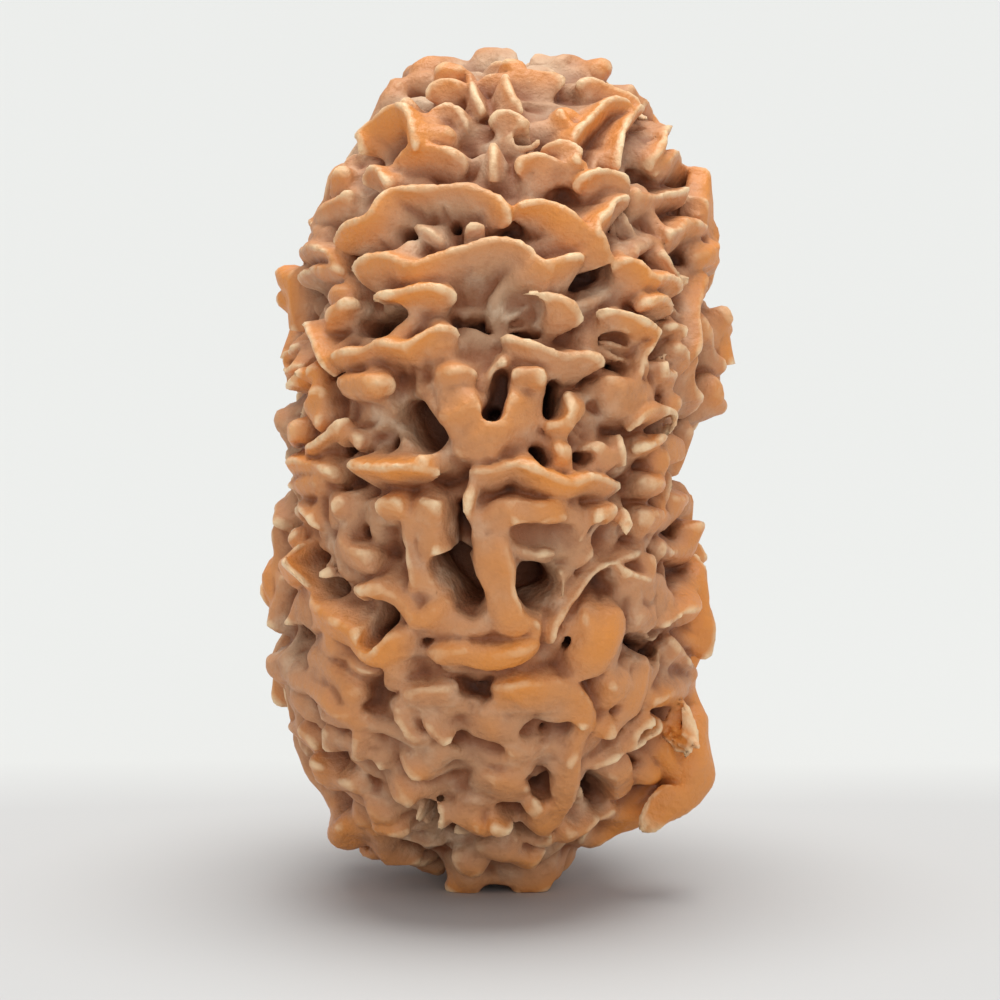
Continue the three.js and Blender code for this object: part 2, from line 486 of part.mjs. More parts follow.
// Ridges, each as nodes along its crest with its height and breadth
const ridges = [];

function addRidge(crest, tall, wide, step) {
  const line = new THREE.CatmullRomCurve3(crest, false, 'centripetal');
  const pieces = Math.max(1, Math.round(line.getLength() / step));
  const stations = line.getSpacedPoints(pieces).map((point, i) => {
    const end = i === 0 || i === pieces;
    const rise = Math.max(tall, Math.min(riseOf(point), tall + extraRise));
    return nodeOn(point, end ? rise * endShare : rise);
  });
  ridges.push({ stations, tall, wide });
}

// A node beside a ridge's station i, aside across the crest and ahead along it
function beside(ridge, i, aside, ahead, rise) {
  const { stations } = ridge;
  const here = stations[i].place;
  const from = stations[Math.max(i - 1, 0)].place;
  const to = stations[Math.min(i + 1, stations.length - 1)].place;
  const along = to.clone().sub(from).normalize();
  const up = here.clone().sub(new THREE.Vector3(0, 0, middleHeight)).divide(
    new THREE.Vector3(halfThickness ** 2, halfDepth ** 2, halfHeight ** 2),
  ).normalize();
  const across = along.clone().cross(up).normalize();
  const point = here.clone().addScaledVector(across, aside).addScaledVector(along, ahead);
  return nodeOn(point, rise);
}

// x and v of the view plane at a point
function sightOf(point) {
  const away = point.clone().sub(eye);
  const scale = eyeDistance / away.dot(viewIn);
  return [viewMiddle.x + scale * away.x, viewMiddle.v + scale * away.dot(viewUp)];
}

// The floor's rise at a place: level on top of a mound, falling off smoothly at its edge
const moundEdge = 0.45;

function floorAt(place) {
  let rise = floorLevel;
  if (place.y < 0) {
    const [x, v] = sightOf(place);
    for (const [middleX, middleV, halfWidth, halfTall, height] of mounds) {
      const away = Math.hypot((x - middleX) / halfWidth, (v - middleV) / halfTall);
      rise = Math.max(rise, height * THREE.MathUtils.smoothstep(1 + moundEdge / 2 - away, 0, moundEdge));
    }
  }
  return rise;
}

const toSegment = new THREE.Line3();
const nearest = new THREE.Vector3();

// The surface's rise at a place, from the floor and the ridges around it
function riseAt(place) {
  const floor = floorAt(place);
  let rise = floor;
  for (const ridge of ridges) {
    const { stations, tall, wide } = ridge;
    for (let i = 0; i + 1 < stations.length; i += 1) {
      if (stations[i].place.distanceTo(place) < ridgeReach) {
        toSegment.set(stations[i].place, stations[i + 1].place).closestPointToPoint(place, true, nearest);
        const away = nearest.distanceTo(place) - crestShare * wide;
        const slope = Math.min(1, Math.max(0, 1 - away / (flankShare * wide + flankWidth)));
        rise = Math.max(rise, floor + (tall - floor) * slope);
      }
    }
  }
  return rise;
}

function frontRidge([wide, tall, ...line], edgeShare) {
  const crest = [];
  for (let i = 0; i < line.length; i += 2) {
    const from = Math.max(i - 2, 0);
    const to = Math.min(i + 2, line.length - 2);
    const run = Math.abs(line[to] - line[from]);
    const level = run / Math.hypot(run, line[to + 1] - line[from + 1]);
    crest.push(seen(line[i], line[i + 1] - edgeShare * wide * level, tall));
  }
  addRidge(crest, tall, wide, crestStep);
}

ledges.forEach((ledge) => frontRidge(ledge, ledgeEdge));
lobes.forEach((lobe) => frontRidge(lobe, 0));
for (const [x, v, tall] of knobs) {
  const ends = [x - knobHalf, x + knobHalf].map((end) => seen(end, v, tall));
  addRidge(ends, tall, knobBreadth, crestStep);
}

// Out of the front view, ridges grow step by step from spots spread evenly over the shell.
// Most run from pole to pole, and each stops where it comes near another ridge.
const openLimit = 0.12;
const poleLimit = 0.22;
const poleLatitude = 52;
const growTries = 1600;
const growStride = 607;
const growStep = 0.95;
const growReach = 4;
const growClear = 1.45;
const growNear = 1.1;
const roundShare = 0.22;
const roundLatitude = 40;
const joinShare = 0.5;
const startTurn = 28;
const stepTurn = 24;

// How squarely a point of the body faces the eye
function facing(point) {
  const outward = point.clone().sub(new THREE.Vector3(0, 0, middleHeight)).divide(
    new THREE.Vector3(halfThickness ** 2, halfDepth ** 2, halfHeight ** 2),
  ).normalize();
  return outward.dot(eye.clone().sub(point).normalize());
}

function isHidden(latitude, turn) {
  const limit = Math.abs(latitude) > poleLatitude * degrees ? poleLimit : openLimit;
  return facing(skin(latitude, turn, levelRise)) < limit;
}

// A step along the shell, at an angle to the way from pole to pole
function stepFrom({ latitude, turn, place }, heading) {
  const tiny = 0.01;
  const ways = [[tiny, 0], [0, tiny]].map(([up, round]) => {
    const ahead = skin(latitude + up, turn + round, levelRise);
    return ahead.sub(skin(latitude - up, turn - round, levelRise)).normalize();
  });
  const point = place.clone()
    .addScaledVector(ways[0], growStep * Math.cos(heading))
    .addScaledVector(ways[1], growStep * Math.sin(heading));
  return nodeOn(point, levelRise);
}

const taken = ridges.flatMap(({ stations }) => stations.map(({ place }) => place));

function isClear(node, distance) {
  return taken.every((place) => place.distanceTo(node.place) >= distance);
}

const draw = drawFrom(1);
const between = (low, high) => low + (high - low) * draw();

function grownRidge(start) {
  const tall = between(1.5, 2.1);
  const wide = between(0.75, 1.05);
  const reach = 2 + Math.floor((growReach - 1) * draw());
  const goesRound = draw() < roundShare && Math.abs(start.latitude) < roundLatitude * degrees;
  const heading = ((goesRound ? 90 : 0) + between(-startTurn, startTurn)) * degrees;
  const turns = Array.from({ length: 2 * growReach }, () => between(-stepTurn, stepTurn) * degrees);
  const joins = [draw() < joinShare, draw() < joinShare];
  if (!isHidden(start.latitude, start.turn) || !isClear(start, growClear)) {
    return;
  }
  const halves = [0, 1].map((half) => {
    const points = [];
    let here = start;
    let way = heading + half * Math.PI;
    for (let i = 0; i < reach; i += 1) {
      way += turns[half * growReach + i];
      here = stepFrom(here, way);
      const clear = isClear(here, growNear);
      if (!isHidden(here.latitude, here.turn) || (!clear && !joins[half])) {
        break;
      }
      points.push(here);
      if (!clear) {
        break;
      }
    }
    return points;
  });
  const line = [...halves[1].reverse(), start, ...halves[0]];
  if (line.length > 2) {
    taken.push(...line.map(({ place }) => place));
    addRidge(line.map(({ latitude, turn }) => skin(latitude, turn, tall)), tall, wide, hiddenStep);
  }
}

for (let n = 0; n < growTries; n += 1) {
  const i = n * growStride % growTries;
  const latitude = Math.asin(1 - 2 * (i + 0.5) / growTries);
  grownRidge(nodeAt(latitude, i * goldenTurn % (2 * Math.PI), levelRise));
}

// Low ridges under the seed, which reach just past the ground plane
const footLines = [
  [[-1.8, -2.9], [-0.6, -3.2], [0.9, -2.8], [2.5, -3.1]],
  [[-2.2, 2.9], [-0.9, 3.2], [1.0, 2.8], [2.6, 3.1]],
  [[-1.2, -0.5], [0.0, 0.2], [1.4, -0.2]],
];
for (const line of footLines) {
  const crest = line.map(([x, y]) => new THREE.Vector3(x, y, footLevel - footSink));
  addRidge(crest, riseOf(crest[0]), footBreadth, crestStep);
}

// Crest points first. A broad ridge has a crest line along each edge.
for (const ridge of ridges) {
  ridge.stations.forEach((station, i) => {
    const edges = ridge.wide > broadRidge ? [-crestShare * ridge.wide, crestShare * ridge.wide] : [0];
    for (const edge of edges) {
      const node = edge === 0 ? station : beside(ridge, i, edge, 0, station.rise);
      if (isFree(node, crestGap)) {
        keep(node);
      }
    }
  });
}

// Pits: a deep middle and a rim at floor level
for (const [x, v, wide, deep] of pits) {
  const mouth = seen(x, v, levelRise);
  const middle = nodeOn(mouth, levelRise);
  middle.rise = -deep;
  if (isFree(middle, pitGap)) {
    keep(middle);
  }
}

// Hollows and grooves between faces, where no ridge stands over them
function sink(line, depth) {
  const points = [];
  for (let i = 0; i < line.length; i += 2) {
    points.push(seen(line[i], line[i + 1], levelRise));
  }
  const curve = new THREE.CatmullRomCurve3(points, false, 'centripetal');
  for (const point of curve.getSpacedPoints(Math.round(curve.getLength() / slitStep))) {
    const node = nodeOn(point, levelRise);
    node.rise = -depth;
    if (isFree(node, slitGap)) {
      keep(node);
    }
  }
}

hollows.forEach(([, depth, ...line]) => sink(line, depth));
slits.forEach((line) => sink(line, grooveDepth));
for (const groove of grooves) {
  for (let latitude = -grooveEnd; latitude <= grooveEnd; latitude += grooveStep) {
    const node = nodeAt(latitude * degrees, groove * degrees, -hiddenGrooveDepth);
    if (isHidden(node.latitude, node.turn) && isFree(node, grooveGap)) {
      keep(node);
    }
  }
}

// Points along both feet of each ridge and past its ends
for (const ridge of ridges) {
  const aside = (crestShare + flankShare) * ridge.wide + footOut;
  const last = ridge.stations.length - 1;
  ridge.stations.forEach((station, i) => {
    const places = [[aside, 0], [-aside, 0]];
    if (i === 0) {
      places.push([0, -aside]);
    }
    if (i === last) {
      places.push([0, aside]);
    }
    for (const [across, ahead] of places) {
      const node = beside(ridge, i, across, ahead, floorLevel);
      if (isFree(node, footGap)) {
        node.rise = riseAt(node.place);
        keep(node);
      }
    }
  });
}

// Floors between the ridges, filled by an even spiral
for (let i = 0; i < floorTries; i += 1) {
  const latitude = Math.asin(1 - 2 * (i + 0.5) / floorTries);
  const node = nodeAt(latitude, i * goldenTurn % (2 * Math.PI), floorLevel);
  if (isFree(node, floorSpacing)) {
    node.rise = riseAt(node.place);
    keep(node);
  }
}

// Closed solids
function solid(points, faces) {
  let volume = 0;
  for (const [a, b, c] of faces) {
    volume += points[a].dot(points[b].clone().cross(points[c]));
  }
  const wound = volume < 0 ? faces.map(([a, b, c]) => [a, c, b]) : faces;
  return new wasm.Manifold(new wasm.Mesh({
    numProp: 3,
    vertProperties: new Float32Array(points.flatMap((p) => p.toArray())),
    triVerts: new Uint32Array(wound.flat()),
  }));
}

// The hull of the directions joins each point to its neighbours
function joined() {
  const numbers = new Map(nodes.map((node, i) => [node.way, i]));
  const hull = new ConvexHull().setFromPoints(nodes.map((node) => node.way));
  const faces = hull.faces.map((face) => {
    const first = face.edge;
    return [first, first.next, first.next.next].map((edge) => numbers.get(edge.head().point));
  });
  return solid(nodes.map((node) => skin(node.latitude, node.turn, node.rise)), faces);
}

// Everything below the ground plane is cut away, so that the lowest crests end in flat feet
function block(low, high) {
  const corners = [];
  for (let i = 0; i < 8; i += 1) {
    corners.push(new THREE.Vector3(i & 1 ? high.x : low.x, i & 2 ? high.y : low.y, i & 4 ? high.z : low.z));
  }
  const sides = [[0, 2, 3, 1], [4, 5, 7, 6], [0, 1, 5, 4], [2, 6, 7, 3], [0, 4, 6, 2], [1, 3, 7, 5]];
  return solid(corners, sides.flatMap(([a, b, c, d]) => [[a, b, c], [a, c, d]]));
}

const ground = block(new THREE.Vector3(-20, -20, -10), new THREE.Vector3(20, 20, footLevel));
const seed = joined().subtract(ground);

// The mesh, moved so that its box stands over the origin
const mesh = seed.getMesh();
const geometry = new THREE.BufferGeometry();
geometry.setAttribute('position', new THREE.BufferAttribute(new Float32Array(mesh.vertProperties), 3));
geometry.setIndex(new THREE.BufferAttribute(new Uint32Array(mesh.triVerts), 1));
geometry.computeBoundingBox();
const { min, max } = geometry.boundingBox;
geometry.translate(-(min.x + max.x) / 2, -(min.y + max.y) / 2, -min.z);
geometry.computeVertexNormals();

const material = new THREE.MeshStandardMaterial({ color: seedColour, roughness: 0.55, metalness: 0 });
const seedMesh = new THREE.Mesh(geometry, material);
seedMesh.name = 'seed';

const rudraksha = new THREE.Group();
rudraksha.add(seedMesh);
export default rudraksha;
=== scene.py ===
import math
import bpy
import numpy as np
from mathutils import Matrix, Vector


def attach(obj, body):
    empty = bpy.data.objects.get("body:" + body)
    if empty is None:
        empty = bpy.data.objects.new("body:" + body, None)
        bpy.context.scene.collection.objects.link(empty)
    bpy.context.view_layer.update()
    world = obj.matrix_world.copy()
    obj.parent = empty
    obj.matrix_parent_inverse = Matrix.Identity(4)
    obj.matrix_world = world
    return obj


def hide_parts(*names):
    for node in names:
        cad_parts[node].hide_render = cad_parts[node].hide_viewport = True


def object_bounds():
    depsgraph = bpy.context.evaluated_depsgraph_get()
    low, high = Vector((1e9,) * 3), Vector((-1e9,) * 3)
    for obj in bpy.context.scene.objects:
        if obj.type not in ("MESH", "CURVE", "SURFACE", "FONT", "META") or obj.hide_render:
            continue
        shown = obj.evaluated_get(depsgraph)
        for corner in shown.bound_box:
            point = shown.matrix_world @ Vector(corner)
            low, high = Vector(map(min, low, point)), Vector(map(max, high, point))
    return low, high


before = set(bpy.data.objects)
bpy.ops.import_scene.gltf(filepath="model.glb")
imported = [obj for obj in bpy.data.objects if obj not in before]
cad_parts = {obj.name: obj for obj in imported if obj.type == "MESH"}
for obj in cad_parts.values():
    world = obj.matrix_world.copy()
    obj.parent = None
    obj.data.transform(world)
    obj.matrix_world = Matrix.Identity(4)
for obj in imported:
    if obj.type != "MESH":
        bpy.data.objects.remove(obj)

# Rudraksha seed on its rim, dressed for a close photograph.
# The shell is worked out in millimetres as a field of distances on a grid: a body with a waist,
# ridges that stand on it like curtains under their crest lines, and hollows cut into its floors.
# The field is turned into a mesh, thinned, painted by what each spot is, and set in metres.

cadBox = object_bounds()

body = {
    "halfHeight": 15.05, "halfDepth": 12.5, "halfThickness": 7.35, "middleHeight": 16.75,
    "squareness": 0.8, "lean": 0.5, "waistLeft": 0.35, "waistRight": 1.15, "waistTurn": 26,
    "navelDepth": 1.9, "navelRadius": 2.1, "floorLevel": 0.15,
    "centring": (-0.174, -0.0304, 0.0),  # moves the seed's box over the origin
}
view = {"tilt": 6, "eyeDistance": 200, "middle": (0.32, 15.32), "before": 20, "behind": 16}
grain = {
    "voxel": 0.125, "corner": (-10.3, -15.2, -0.7), "span": (20.7, 30.3, 35.3), "cloudGain": 1.6,
    "triangles": 190000, "smooth": 0.4, "seed": 7, "lumpSeed": 5, "growthSeed": 1,
}

halfHeight, halfDepth, halfThickness = body["halfHeight"], body["halfDepth"], body["halfThickness"]
middleHeight, squareness, lean = body["middleHeight"], body["squareness"], body["lean"]


def power(value, exponent):
    return math.copysign(abs(value) ** exponent, value)


def thicknessAt(turn, side):
    # half the thickness, pinched to a waist at the front and the back
    away = math.degrees(math.acos(min(1, abs(math.cos(turn))))) / body["waistTurn"]
    waist = body["waistLeft"] if side < 0 else body["waistRight"]
    return halfThickness - waist * math.exp(-away * away)


def skin(latitude, turn, rise):
    # a point of the body, raised by rise; latitude is 0 at the rim and 90 degrees at the poles
    side = -1 if latitude < 0 else 1
    reach = max(math.cos(latitude), 0) ** squareness
    hollow = body["navelDepth"] * math.exp(-(reach * halfHeight / body["navelRadius"]) ** 2)
    out = (thicknessAt(turn, side) + rise) * abs(math.sin(latitude)) ** squareness
    return np.array((
        lean * math.sin(turn) + side * (out - hollow),
        -(halfDepth + rise) * reach * math.cos(turn),
        middleHeight + (halfHeight + rise) * reach * math.sin(turn),
    ))


def shares(point, rise):
    y = point[1] / (halfDepth + rise)
    z = (point[2] - middleHeight) / (halfHeight + rise)
    turn = math.atan2(z, -y)
    shifted = point[0] - lean * math.sin(turn)
    side = -1 if shifted < 0 else 1
    return shifted / (thicknessAt(turn, side) + rise), math.hypot(y, z), turn


def swell(point, rise):
    # below 1 inside the body raised by rise, above 1 outside
    x, reach, turn = shares(point, rise)
    return abs(x) ** (2 / squareness) + reach ** (2 / squareness)


def narrowed(low, high, repeats, isBelow):
    # the value between low and high up to which isBelow holds
    for i in range(repeats):
        half = (low + high) / 2
        low, high = (half, high) if isBelow(half) else (low, half)
    return low


def riseOf(point):
    return narrowed(-3, 5, 16, lambda rise: swell(point, rise) > 1)


def placeOf(point, rise):
    # latitude and turn of the spot of the body, raised by rise, that lies below or above a point
    x, reach, turn = shares(point, rise)
    return math.atan2(power(x, 1 / squareness), reach ** (1 / squareness)), turn


def lifted(point, rise):
    return skin(*placeOf(point, rise), rise)


def outward(point):
    way = (point - np.array((0, 0, middleHeight))) / np.array((halfThickness, halfDepth, halfHeight)) ** 2
    return way / np.linalg.norm(way)


tilt = math.radians(view["tilt"])
viewUp = np.array((0, math.sin(tilt), math.cos(tilt)))
viewIn = np.array((0, math.cos(tilt), -math.sin(tilt)))
viewCentre = (np.array((view["middle"][0], 0, 0)) + viewUp * view["middle"][1]
              - viewIn * middleHeight * math.sin(tilt))
eye = viewCentre - viewIn * view["eyeDistance"]


def seen(x, v, rise):
    # the point rise above the body on the sight line through x, v of the upright view plane
    aim = viewCentre + np.array((x - view["middle"][0], 0, 0)) + viewUp * (v - view["middle"][1])
    along = (aim - eye) / np.linalg.norm(aim - eye)
    near, far = view["eyeDistance"] - view["before"], view["eyeDistance"] + view["behind"]
    for i in range(30):
        third = (far - near) / 3
        if swell(eye + along * (near + third), rise) < swell(eye + along * (far - third), rise):
            far -= third
        else:
            near += third
    inside = (near + far) / 2
    if swell(eye + along * inside, rise) < 1:
        before = view["eyeDistance"] - view["before"]
        inside = narrowed(inside, before, 20, lambda way: swell(eye + along * way, rise) < 1)
    return eye + along * inside


# Ridges of the upper half, seen from the front: breadth, height, then x and v of points
# along the upper edge of the crest
ledges = [
    # Top left
    [0.9, 2, -2.9, 32.5, -2.2, 32.8, -1.2, 32.6], [0.8, 2, -4.1, 31.9, -3.6, 32.15],
    [0.8, 2.4, -6, 30, -5.7, 30.6, -4.7, 31.3, -3.9, 31.3, -3.4, 30],
    [1, 1.8, -2.9, 30.6, -2.6, 31.2, -1.8, 31.6, -1.2, 31],
    [1.1, 1.9, -4.4, 29.3, -3.8, 29.8, -2, 29.8, -1.3, 29.4], [0.9, 1.9, -6.9, 28.2, -6.2, 29],
    [0.7, 1.9, -5.6, 28.8, -5.1, 29, -4.5, 28.2], [0.8, 1.9, -7.5, 26.9, -6.9, 27.6, -6, 28.3],
    [0.5, 1.6, -7.6, 26.9, -7.1, 26.3],
    [0.8, 2.1, -6.7, 26.2, -5, 26.9, -4.3, 27.9, -3, 28.15, -1.2, 28.3, 0.2, 27.9, 0.85, 27],
    [0.7, 1.5, -0.9, 26.5, -0.3, 26.5], [0.7, 1.5, -3.4, 26.6, -2.8, 26.3, -2.1, 25.9],
    [0.9, 2, -6, 24.9, -4.6, 25.3, -3.3, 24.95, -1, 25.7, 0.6, 26.1, 1.6, 25.8, 2.3, 25.15, 4.1, 25.6],
    [0.7, 1.7, -8, 25.6, -7.3, 25.7, -6.5, 25.1], [0.6, 1.6, -7.8, 24.7, -6.3, 24.8],
    # Top right
    [0.9, 1.9, -0.8, 33, 0.6, 33.15, 1.8, 33.15, 2.9, 33], [0.5, 1.9, 0.3, 32.9, 0.8, 32.2, 1.3, 31.4],
    [0.5, 1.8, -1.1, 33, -0.8, 32, -0.3, 31.4], [1.2, 1.8, 2.4, 31.9, 3.1, 31.5, 3.6, 30.9],
    [0.7, 1.9, 3.4, 32.7, 4.3, 32.5, 5.2, 32, 6, 31.3],
    [0.7, 1.9, 3.3, 30.1, 4.3, 31.2, 5, 31.6, 5.8, 31.3], [0.5, 1.9, 6, 31.2, 5.4, 30.2, 5.4, 28.9],
    [0.7, 2, 6.4, 31.4, 7.1, 30.8, 7, 29.8, 6.9, 29], [0.8, 1.8, 7, 28.9, 7.8, 29.1, 8.4, 28.9],
    [0.8, 1.8, 0, 31.1, 0.6, 31.3, 1.1, 31, 1.9, 30.2], [0.6, 1.6, 0.3, 30, 0.2, 28.4],
    [1, 1.9, 1.3, 29.2, 2.1, 29.6, 3.1, 29.1], [0.8, 1.9, 2, 30, 3, 30, 3.9, 28.8],
    [0.8, 1.9, 3.6, 28.5, 5.1, 28.8, 6, 28.2],
    [0.8, 2, 0.9, 27.4, 1.8, 27.7, 2.5, 27.6, 3.5, 27, 4.3, 26.2],
    [0.6, 1.9, 6, 27.9, 4.9, 27, 4.5, 26.1, 5.1, 25.3], [0.7, 1.8, 6, 28.1, 7, 27.8, 8.1, 27.9],
    [0.8, 1.9, 7.6, 26.3, 8.4, 26.5, 9.2, 26], [0.8, 2.1, 8.7, 27.1, 9.4, 26, 9.2, 25.2],
    [0.8, 1.9, 5.2, 25.2, 6, 25.1, 6.6, 24.4, 7.3, 24.6, 8.2, 24.4],
    # Middle
    [0.9, 1.9, -5.2, 23.7, -4, 23.85, -2.4, 23.95, -1.4, 23.7],
    [0.8, 1.9, -6.9, 21.15, -5.7, 21.5, -4.6, 21.8, -3.4, 21.7, -2.1, 22.3, -1.2, 22.2],
    [1, 1.9, -2.6, 21.8, -1.2, 21.8], [0.8, 1.9, -6, 16.95, -4.6, 16.85, -3.4, 16.85, -2.1, 16.6],
    [0.9, 1.9, 0.7, 23.6, 2, 23.9, 3, 23.7, 3.9, 23],
    [0.9, 1.9, 0.3, 22.3, 1.2, 21.95, 2.3, 21.6, 3.1, 21.25, 4.1, 21.4, 4.7, 21],
    [0.5, 1.8, 4.4, 23.2, 5.5, 22.9, 6.3, 22.4, 6.85, 21.9, 6.3, 21.1],
    [0.9, 1.9, -1, 16.7, 0.2, 16.55, 1.2, 16.8, 2.2, 16.4, 3.3, 16.05, 4.3, 16.25, 5.6, 15.8],
]

